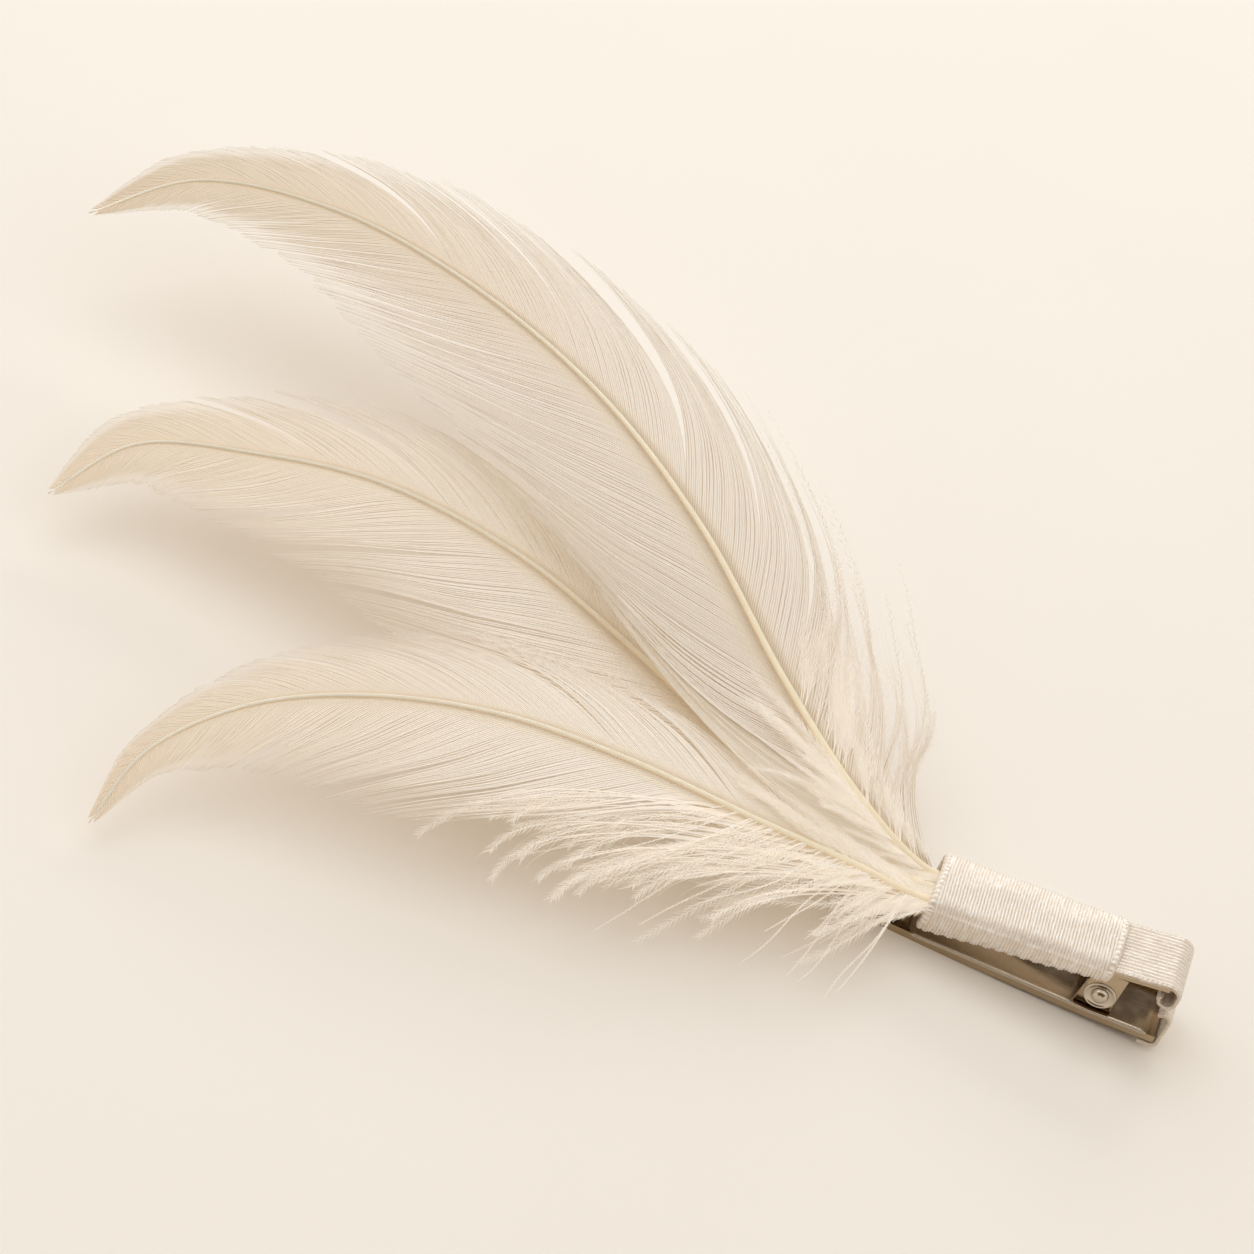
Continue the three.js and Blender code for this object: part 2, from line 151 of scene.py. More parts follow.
class Value:
    """A shader socket that adds a Math node each time it is calculated with."""

    def __init__(self, bench: "Bench", socket: bpy.types.NodeSocket) -> None:
        """Keeps the socket and the bench that adds its nodes."""
        self.bench = bench
        self.socket = socket

    def _math(self, operation: str, *terms: object) -> "Value":
        """Adds one Math node of an operation over the terms."""
        return self.bench.read("ShaderNodeMath", 0, dict(enumerate(terms)), operation=operation)

    def __add__(self, other: object) -> "Value":
        """Adds."""
        return self._math("ADD", self, other)

    def __sub__(self, other: object) -> "Value":
        """Subtracts."""
        return self._math("SUBTRACT", self, other)

    def __rsub__(self, other: object) -> "Value":
        """Subtracts from a number."""
        return self._math("SUBTRACT", other, self)

    def __mul__(self, other: object) -> "Value":
        """Multiplies."""
        return self._math("MULTIPLY", self, other)

    def sine(self) -> "Value":
        """Gives the sine."""
        return self._math("SINE", self)

    def clamped(self) -> "Value":
        """Holds the value between 0 and 1."""
        return self._math("MINIMUM", self._math("MAXIMUM", self, 0.0), 1.0)


class Bench:
    """One material's node tree, with short ways to add nodes."""

    def __init__(self, name: str) -> None:
        """Starts an empty material with an output."""
        self.material = bpy.data.materials.new(name)
        self.material.use_nodes = True
        self.tree = self.material.node_tree
        self.tree.nodes.clear()
        self.output = self.tree.nodes.new("ShaderNodeOutputMaterial")

    def node(self, kind: str, inputs: dict | None = None, **settings: object) -> bpy.types.Node:
        """Adds a node.

        Args:
            kind: the node's type.
            inputs: values, colours, Values or sockets, by the input's name or number.
            settings: attributes that are set first.

        Returns:
            The new node.
        """
        made = self.tree.nodes.new(kind)
        for key, value in settings.items():
            setattr(made, key, value)
        for key, value in (inputs or {}).items():
            if isinstance(value, Value):
                value = value.socket
            if isinstance(value, bpy.types.NodeSocket):
                self.tree.links.new(value, made.inputs[key])
            else:
                made.inputs[key].default_value = value
        return made

    def read(self, kind: str, output: str | int, inputs: dict | None = None, **settings: object) -> Value:
        """Adds a node and gives one of its outputs as a Value."""
        return Value(self, self.node(kind, inputs, **settings).outputs[output])

    def attribute(self, name: str) -> Value:
        """Reads a number that the mesh carries."""
        return self.read("ShaderNodeAttribute", "Fac", attribute_name=name)

    def stretched(self, scale: Triple) -> Value:
        """Gives the object's own coordinates, stretched along X, Y and Z."""
        where = self.read("ShaderNodeTexCoord", "Object")
        return self.read("ShaderNodeMapping", "Vector", {"Vector": where, "Scale": scale})

    def noise(self, scale: float, detail: float = 2.0, where: Value | None = None) -> Value:
        """Gives smooth noise in features per metre, over the object's own coordinates if no others."""
        where = where or self.read("ShaderNodeTexCoord", "Object")
        return self.read("ShaderNodeTexNoise", "Fac", {"Vector": where, "Scale": scale, "Detail": detail})

    def blend(self, factor: Value, first: Value | Triple, second: Value | Triple) -> Value:
        """Mixes two colours."""
        first, second = (c if isinstance(c, Value) else paint(*c) for c in (first, second))
        return self.read("ShaderNodeMix", 2, {0: factor, 6: first, 7: second}, data_type="RGBA")

    def bump(self, height: Value, distance: float, strength: float = 1.0) -> Value:
        """Turns a height into a normal."""
        inputs = {"Height": height, "Distance": distance, "Strength": strength}
        return self.read("ShaderNodeBump", "Normal", inputs)

    def surface(self, inputs: dict) -> bpy.types.Node:
        """Adds the usual shader of a surface."""
        return self.node("ShaderNodeBsdfPrincipled", inputs)

    def close(self, shader: bpy.types.Node) -> bpy.types.Material:
        """Links a shader to the output and gives the material."""
        self.tree.links.new(shader.outputs[0], self.output.inputs[0])
        return self.material


@dataclass(frozen=True)
class BarbFinish:
    """Feather barbs: matt ivory keratin that lets a little light through."""

    name: str
    crest: Triple  # painted highlight: colour along a barb's ridge
    seam_shade: Triple  # painted shade: colour where two barbs meet, also laid over whole locks
    root: Triple  # colour beside the shaft: the barbs' own tan tone there, deepened by painted shade
    tip: Triple = (238, 220, 192)  # colour towards the feather's tip
    through: float = 0.32  # share of the light that passes through
    roughness: float = 0.5
    glow: float = 0.19  # stands for the light that is scattered many times inside the fluff
    dim: Triple = (200, 186, 167)  # colour of the glow of a firm barb
    bright: Triple = (255, 246, 235)  # colour of the glow of a downy one

    def build(self) -> bpy.types.Material:
        """Makes a material that varies across and along each barb, and between barbs.

        Returns:
            The material.
        """
        bench = Bench(self.name)
        lot = bench.attribute("lot")
        soft = bench.attribute("soft").clamped()
        # painted highlight along each barb's ridge, painted shade where barbs meet; downy barbs lean to the
        # highlight
        fine = (bench.attribute("crest") * 1.25 + soft * 0.3).clamped()
        base = bench.blend(fine, self.seam_shade, self.crest)
        # painted shade laid over whole locks at random and in soft patches
        shade = (lot * 0.5 + bench.noise(90.0) * 0.5 - 0.2).clamped()
        base = bench.blend(shade * 0.4, base, self.seam_shade)
        tip = (bench.attribute("tip") * 1.6 - 0.7).clamped()
        base = bench.blend(tip * 0.7, base, self.tip)
        # painted shade beside the shaft, over the barbs' own tan tone there
        near = (1.0 - bench.attribute("along") * 7.0).clamped()
        skin = bench.surface({
            "Base Color": bench.blend(near * 0.75, base, self.root),
            "Roughness": lot * 0.1 + self.roughness,
            "Specular IOR Level": 0.35,
            "Emission Color": bench.blend(soft, self.dim, self.bright),
            "Emission Strength": self.glow,
        })
        inner = bench.node("ShaderNodeBsdfTranslucent", {"Color": paint(255, 245, 229)})
        share = soft * 0.08 + self.through
        both = {0: share, 1: skin.outputs[0], 2: inner.outputs[0]}
        return bench.close(bench.node("ShaderNodeMixShader", both))


@dataclass(frozen=True)
class ShaftFinish:
    """A feather's shaft: smooth, pale and horny, a little yellow, with fine lines along it."""

    name: str = "shaft_horn"
    quill: Triple = (255, 244, 216)
    tip: Triple = (255, 252, 244)
    fleck: Triple = (240, 204, 146)
    flank: Triple = (240, 192, 122)  # painted shade: colour of the two sides and the underside, deeper and more golden than the lit top
    lines: float = 60.0  # how many lines run along it, times two pi

    def build(self) -> bpy.types.Material:
        """Makes a material that is yellower by the quill and paler towards the tip, with painted shade making
        its flanks darker and more golden.

        Returns:
            The material.
        """
        bench = Bench(self.name)
        turn = bench.attribute("round")
        lines = (turn * self.lines).sine() * 0.5 + 0.5
        speckle = bench.noise(900.0)
        base = bench.blend(bench.attribute("along").clamped(), self.quill, self.tip)
        base = bench.blend(speckle * 0.2, base, self.fleck)
        # painted shade on the sides and underside, the top left light
        flank = 1.0 - (turn.sine() * 1.6 - 0.3).clamped()
        return bench.close(bench.surface({
            "Base Color": bench.blend(flank * 0.6, base, self.flank),
            "Roughness": speckle * 0.12 + 0.24,
            "Coat Weight": 0.5,
            # painted light: the shaft glows a little, though it is no lamp
            "Emission Color": paint(255, 234, 194),
            "Emission Strength": 0.2,
            "Normal": bench.bump(lines * 0.6 + speckle * 0.4, 0.00004),
        }))


@dataclass(frozen=True)
class SatinFinish:
    """Cream satin ribbon: ribs in the mesh, with short threads painted white as glints and a fine weave over
    them.
    """

    name: str
    along_scale: Triple  # how the threads are stretched along X, Y and Z
    painted_glint: float = 0.9  # how white the flecks are painted: painted glints on the threads
    # painted shade: colour in the furrows between ribs and on the inner face
    furrow_shade: Triple = (206, 186, 161)
    # painted light: colour of the rib tops
    rib: Triple = (251, 242, 230)
    # colour of the painted glints
    fleck: Triple = (255, 252, 247)
    cloud: Triple = (224, 206, 184)

    def build(self) -> bpy.types.Material:
        """Makes a material whose thread flecks vary its roughness and its surface and paint glints into its
        colour.

        Returns:
            The material.
        """
        bench = Bench(self.name)
        threads = bench.noise(1.0, 3.0, bench.stretched(self.along_scale))
        fleck = ((threads - 0.5) * 6.0).clamped()
        # painted light on rib tops, painted shade in furrows and inside, by the mesh's rib number
        base = bench.blend(bench.attribute("rib").clamped(), self.furrow_shade, self.rib)
        base = bench.blend(fleck * self.painted_glint, base, self.fleck)
        return bench.close(bench.surface({
            "Base Color": bench.blend(bench.noise(260.0) * 0.18, base, self.cloud),
            "Roughness": 0.34 - fleck * 0.12,
            "Coat Weight": 0.25,
            "Coat Roughness": 0.22,
            "Metallic": 0.22,
            "Specular IOR Level": 1.0,
            "Sheen Weight": 0.2,
            "Sheen Roughness": 0.4,
            "Normal": bench.bump(threads, 0.00017, 0.8),
        }))


@dataclass(frozen=True)
class NickelFinish:
    """Nickel-plated sheet metal: bright, a little warm, with fine rolling marks and scuffs."""

    name: str
    tone: Triple = (188, 168, 140)
    roughness: float = 0.15
    scuffed: float = 0.82  # how bright a scuff is, over the tone
    rolling: Triple = (300.0, 4200.0, 4200.0)  # marks in a metre along X, Y and Z

    def build(self) -> bpy.types.Material:
        """Makes a material whose marks along X and soft scuffs vary its roughness and colour.

        Returns:
            The material.
        """
        bench = Bench(self.name)
        marks = bench.noise(1.0, 2.0, bench.stretched(self.rolling))
        scuffs = bench.noise(420.0, 4.0)
        dull = tuple(c * self.scuffed for c in self.tone)
        return bench.close(bench.surface({
            "Base Color": bench.blend(scuffs * 0.5, self.tone, dull),
            "Metallic": 1.0,
            "Roughness": scuffs * 0.16 + marks * 0.08 + self.roughness - 0.1,
            "Normal": bench.bump(marks, 0.00001, 0.5),
        }))


def shade_smooth(piece: bpy.types.Object) -> None:
    """Marks every face of a piece as smooth."""
    piece.data.polygons.foreach_set("use_smooth", np.ones(len(piece.data.polygons), bool))
    piece.data.update()


def make_piece(
    name: str,
    points: Array,
    faces: Array,
    triangles: Array = NO_TRIANGLES,
    numbers: dict[str, Array] | None = None,
    rounded: bool = True,
) -> bpy.types.Object:
    """Makes a mesh object from arrays.

    Args:
        name: the piece's name.
        points: the vertices in the frame's metres, in the last axis.
        faces: the four-sided faces, one a row.
        triangles: the three-sided faces, one a row.
        numbers: one value a vertex for each named attribute.
        rounded: whether the piece is shaded as smooth.

    Returns:
        The object, at the origin.
    """
    corners = np.concatenate([faces.ravel(), triangles.ravel()]).astype(np.int32)
    sizes = np.concatenate([np.full(len(faces), 4), np.full(len(triangles), 3)]).astype(np.int32)
    starts = np.concatenate([[0], np.cumsum(sizes)[:-1]]).astype(np.int32)
    mesh = bpy.data.meshes.new(name)
    mesh.vertices.add(points.size // 3)
    mesh.vertices.foreach_set("co", np.ascontiguousarray(points, np.float32).ravel())
    mesh.loops.add(len(corners))
    mesh.loops.foreach_set("vertex_index", corners)
    mesh.polygons.add(len(sizes))
    mesh.polygons.foreach_set("loop_start", starts)
    mesh.polygons.foreach_set("loop_total", sizes)
    for key, values in (numbers or {}).items():
        made = mesh.attributes.new(key, "FLOAT", "POINT")
        made.data.foreach_set("value", np.ascontiguousarray(values, np.float32).ravel())
    mesh.update(calc_edges=True)
    mesh.validate()
    piece = bpy.data.objects.new(name, mesh)
    bpy.context.scene.collection.objects.link(piece)
    if rounded:
        shade_smooth(piece)
    return piece


def join_parts(name: str, parts: list[Part], rounded: bool = False) -> bpy.types.Object:
    """Joins several parts into one piece.

    Args:
        name: the piece's name.
        parts: the parts, in the pin's millimetres, which all carry the same kinds of numbers.
        rounded: whether the piece is shaded as smooth.

    Returns:
        The piece.
    """
    offsets = np.cumsum([0] + [len(part[0]) for part in parts[:-1]])
    points = np.concatenate([part[0] for part in parts])
    faces = np.concatenate([part[1] + shift for part, shift in zip(parts, offsets)])
    triangles = np.concatenate([part[2] + shift for part, shift in zip(parts, offsets)])
    numbers = {key: np.concatenate([part[3][key] for part in parts]) for key in parts[0][3]}
    return make_piece(name, to_metres(points), faces, triangles, numbers, rounded)


def settle(piece: bpy.types.Object, body: str, slot: str, finish: bpy.types.Material, *nodes: str) -> None:
    """Dresses a piece and says where it belongs.

    Args:
        piece: the piece.
        body: the body that it rides on.
        slot: its material slot; not used.
        finish: its material.
        nodes: the CAD nodes that it stands for.
    """
    piece.data.materials.clear()
    piece.data.materials.append(finish)
    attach(piece, body)
    if nodes:
        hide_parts(*nodes)
    triangles = sum(len(p.vertices) - 2 for p in piece.data.polygons)
    log.info("%s: %d triangles on %s", piece.name, triangles, body)


def tube_faces(rows: int, size: int) -> tuple[Array, Array]:
    """Numbers the faces of rings joined into a tube, with a fan on each end.

    Args:
        rows: how many rings there are.
        size: how many vertices a ring has, counter-clockwise as seen from the last ring's side.

    Returns:
        The four-sided faces and the three-sided ones of the ends.
    """
    k, j = np.meshgrid(np.arange(rows - 1), np.arange(size), indexing="ij")
    here, beside = k * size + j, k * size + (j + 1) % size
    sides = np.stack([here, beside, beside + size, here + size], -1).reshape(-1, 4)
    j = np.arange(1, size - 1)
    first = np.stack([0 * j, j + 1, j], 1)
    last = (rows - 1) * size + np.stack([0 * j, j, j + 1], 1)
    return sides, np.concatenate([first, last])


def loop_faces(rows: int, size: int) -> Array:
    """Numbers the faces of rings joined into a loop, the last ring to the first.

    Args:
        rows: how many rings there are.
        size: how many vertices a ring has.

    Returns:
        The four-sided faces.
    """
    k, j = np.meshgrid(np.arange(rows), np.arange(size), indexing="ij")
    beside, further = (j + 1) % size, (k + 1) % rows
    corners = [k * size + j, k * size + beside, further * size + beside, further * size + j]
    return np.stack(corners, -1).reshape(-1, 4)


def strip_frame(centre: Array, up: Array, spare: float = 0.0) -> tuple[Array, Array, Array]:
    """Works out unit directions along strips, across them, and up square to both.

    Args:
        centre: centre lines, strips by steps by 3.
        up: roughly up, of the same shape or one vector.
        spare: what is added to lengths before dividing by them.

    Returns:
        The directions along, aside and up.
    """
    along = unit(np.gradient(centre, axis=1), spare)
    aside = unit(np.cross(along, up), spare)
    return along, aside, np.cross(aside, along)


def strip_mesh(centre: Array, aside: Array, up: Array, width: Array, ridge: Array) -> Mesh:
    """Makes many thin closed strips, each with a flat underside and a ridge along its top.

    A strip's section is a triangle: the centre less and plus half the width aside, and the
    centre plus the ridge's height up.

    Args:
        centre: centre lines, strips by steps by 3.
        aside: unit directions across each strip, of the same shape.
        up: unit directions of the ridge, of the same shape.
        width: widths, strips by steps.
        ridge: ridge heights, strips by steps.

    Returns:
        The mesh.
    """
    strips, steps = width.shape
    half = 0.5 * width[..., None] * aside
    ring = np.stack([centre + half, centre - half, centre + ridge[..., None] * up], 2)
    sides, ends = tube_faces(steps, 3)
    shift = (np.arange(strips) * steps * 3)[:, None, None]
    return ring.reshape(-1, 3), (sides[None] + shift).reshape(-1, 4), (ends[None] + shift).reshape(-1, 3)


def vertex_numbers(shape: tuple[int, ...], **values: Array | float) -> dict[str, Array]:
    """Gives the vertices of strips their numbers, from values that spread over the shape."""
    return {key: np.broadcast_to(value, shape).ravel() for key, value in values.items()}


class Side(Enum):
    """The two vanes of a feather, by the sign of the distance across the shaft."""

    OUTER = -1
    INNER = 1


@dataclass(frozen=True)
class Locks:
    """How a vane's barbs cling together into locks."""

    smallest: int = 6
    largest: int = 26
    downy_size: int = 3
    pinch: float = 0.12  # how far the tips of a lock draw together
    apart: float = 0.28  # the same for the few locks that stand apart
    share_apart: float = 0.1  # the share of locks that stand apart
    downy_pinch: float = 0.9  # the same as pinch in the downy part, where a lock is a plume
    notch: float = 0.02  # how much shorter a lock's outermost barbs are
    lift: float = 0.08  # how far a lock's tip stands off the vane, in millimetres
    uneven: Pair = (0.015, 0.12)  # how much locks differ in length, and how much more if downy
    ragged: Pair = (0.01, 0.04)  # the same for the barbs of a lock
    stray: Pair = (0.01, 0.22)  # how much the slopes of barbs differ, and those of downy locks
    sway: Pair = (0.03, 0.22)  # how far barbs wave up and down, and how much more if downy
    share_short: float = 0.55  # the share of downy locks that are short
    shorter: float = 0.36  # how much shorter those are
    seed: int = 1


@dataclass(frozen=True)
class VanePlan:
    """One side of a feather: its outline and the way its barbs lie."""

    outline: tuple[Pair, ...]  # shares of the shaft, and the reach there
    downy: float = 0.0  # barbs that start before this share are downy
    fan: float = 1.0  # how far forward the first barbs run, over the usual
    slits: tuple[Pair, ...] = ()  # root shares where the vane parts, and the gap in mm
    curl: float = 0.0  # how far the downy barbs bend outwards, not forwards
    band: tuple[Pair, ...] = ()  # outline of a lower layer by the quill, if any


@dataclass(frozen=True)
class FeatherPlan:
    """One feather's driving sizes in millimetres, the same as its solid's."""

    name: str
    points: tuple[Triple, ...]
    outer: VanePlan
    inner: VanePlan
    barbs: int
    locks: Locks
    quill_radius: float = 0.75
    tip_radius: float = 0.25
    droop: float = 1.5
    droop_reach: float = 20.0
    root_angle: float = 43.0  # degrees between barb and shaft where the barb starts
    tip_angle: float = 26.0  # the same at the feather's tip
    edge_angle: float = 9.0  # the same where a barb ends
    tilt: float = 10.0


class Shaft:
    """A feather's shaft: a curve through its points, with directions along, across and up."""

    SAMPLES = 2400
    STEPS = 199  # steps of the curve between two of its points
    LAST_HIDDEN = 2  # the point where the quill leaves the ribbon

    def __init__(self, plan: FeatherPlan) -> None:
        """Works out the curve, a centripetal spline through the plan's points.

        Each stretch between two points is the cubic that starts and ends there with slopes
        taken from the neighbours, weighted by the square root of the distances between them.

        Args:
            plan: the feather's sizes.
        """
        self.plan = plan
        knots = np.array(plan.points)
        ends = np.vstack([2 * knots[0] - knots[1], knots, 2 * knots[-1] - knots[-2]])
        steps = np.linalg.norm(np.diff(ends, axis=0), axis=1)[:, None] ** 0.5
        before, here, after = steps[:-2], steps[1:-1], steps[2:]
        p0, p1, p2, p3 = ends[:-3], ends[1:-2], ends[2:-1], ends[3:]
        out = ((p1 - p0) / before - (p2 - p0) / (before + here) + (p2 - p1) / here) * here
        into = ((p2 - p1) / here - (p3 - p1) / (here + after) + (p3 - p2) / after) * here
        t = np.linspace(0, 1, self.STEPS + 1)[None, :, None]
        bends = (-3 * p1 + 3 * p2 - 2 * out - into)[:, None]
        twists = (2 * p1 - 2 * p2 + out + into)[:, None]
        stretches = p1[:, None] + out[:, None] * t + bends * t**2 + twists * t**3
        path = np.vstack([stretches[:, :-1].reshape(-1, 3), knots[-1:]])
        run = running_length(path)
        self.exit = float(run[self.LAST_HIDDEN * self.STEPS])
        self.length = float(run[-1])
        self.visible = self.length - self.exit
        self.run = np.linspace(0, self.length, self.SAMPLES)
        self.path = np.stack([np.interp(self.run, run, path[:, i]) for i in range(3)], 1)
        self.along = unit(np.gradient(self.path, axis=0))
        tilt = np.radians(plan.tilt) * np.clip((self.run - self.exit) / self.visible, 0, 1)
        up = np.stack([0 * tilt, -np.sin(tilt), np.cos(tilt)], 1)
        self.across = unit(np.cross(up, self.along))
        self.up = np.cross(self.along, self.across)

    def _read(self, rows: Array, run: Array) -> Array:
        """Reads a row of three numbers at each length along the shaft."""
        return np.stack([np.interp(run, self.run, rows[:, i]) for i in range(3)], -1)

    def reads(self, rows: Array, share: Array) -> Array:
        """Reads a row of three numbers at each share of the way from the ribbon to the tip."""
        return self._read(rows, self.exit + share * self.visible)

    def beside(self, share: Array, distance: Array, height: Array) -> Array:
        """Gives points beside the shaft.

        A point is the shaft's place at the share, plus the distance across and the height up
        there. A share past 1 goes on straight beyond the tip.

        Args:
            share: shares of the way from the ribbon to the tip; below 0 is in the quill.
            distance: millimetres across the shaft, above 0 on the inner side.
            height: millimetres up from the vane's own plane.

        Returns:
            The points, in the pin's millimetres.
        """
        share, distance, height = np.broadcast_arrays(share, distance, height)
        run = np.where(share < 0, self.exit * (1 + share), self.exit + share * self.visible)
        beyond = np.maximum(run - self.length, 0)[..., None]
        place = self._read(self.path, run) + beyond * self._read(self.along, run)
        aside = distance[..., None] * self._read(self.across, run)
        return place + aside + height[..., None] * self._read(self.up, run)

    def radius(self, share: Array) -> Array:
        """Gives the shaft's radius: it thins from the quill to the tip as share to the power 0.8."""
        return between((self.plan.quill_radius, self.plan.tip_radius), np.clip(share, 0, 1) ** 0.8)

    def slopes(self, share: Array) -> tuple[Array, float]:
        """Gives how far forward a barb runs for each millimetre out, at its root and at its end."""
        turn = between((self.plan.root_angle, self.plan.tip_angle), np.clip(share, 0, 1))
        return 1 / np.tan(np.radians(turn)), 1 / math.tan(math.radians(self.plan.edge_angle))


@dataclass(frozen=True)
class Barbules:
    """Fine side barbs that make a barb downy."""

    length: float
    first: float  # share of the barb where they start
    last: float = 0.985
    count: int = 64
    width: float = 0.1
    floor: float = 0.4
    lean: Pair = (24, 40)  # degrees from the barb
    bend: float = 0.2
    sway: float = 0.16

    def grow(self, barbs: tuple[Array, Array, Array, Array], scale: Array, rng: np.random.Generator) -> Part:
        """Makes the barbules of many barbs at once.

        A barbule is a thin spike of four steps. It leaves its barb at the lean, bends forward by
        the bend times its length times the square of the way along it, and sways up or down.

        Args:
            barbs: the barbs' paths, and unit directions along, across and up, barbs by steps by 3.
            scale: how long each barb's barbules are, over the usual.
            rng: the source of the random turns.

        Returns:
            The barbules.
        """
        strips, steps = barbs[0].shape[:2]
        shape = (strips, self.count, 1)
        at = np.linspace(self.first, self.last, self.count)
        pick = at * (steps - 1)
        low = np.minimum(pick.astype(int), steps - 2)
        part = (pick - low)[None, :, None]
        foot, front, flank, top = (rows[:, low] * (1 - part) + rows[:, low + 1] * part for rows in barbs)
        sign = np.where(np.arange(self.count) % 2, 1.0, -1.0)[None, :, None]
        lean = np.radians(rng.uniform(*self.lean, shape))
        reach = self.length * rng.uniform(0.75, 1.1, shape) * scale[:, None, None]
        reach = (reach * (1 - 0.5 * at[None, :, None] ** 3))[..., None]
        go = np.cos(lean) * front + np.sin(lean) * sign * flank
        t = np.linspace(0, 1, 4)[None, None, :, None]
        sway = rng.normal(0, self.sway, (*shape, 1))
        path = foot[:, :, None] + reach * (go[:, :, None] * t + front[:, :, None] * self.bend * t**2)
        path = (path + reach * sway * top[:, :, None] * t**2).reshape(-1, 4, 3)
        path[..., 2] = np.maximum(path[..., 2], self.floor)
        _, aside, up = strip_frame(path, Z_UP, 1e-9)
        width = np.tile(self.width * np.array([[1.0, 0.8, 0.55, 0.12]]), (len(path), 1))
        along = (0.2 + 0.8 * at)[None, :, None]
        lot = rng.random(shape) * 0.6
        # barbules take half of the painted ridge highlight
        numbers = vertex_numbers((*shape[:2], 12), along=along, lot=lot, crest=0.5, soft=1.0, tip=0.0)
        return *strip_mesh(path, aside, up, width, 0.25 * width), numbers


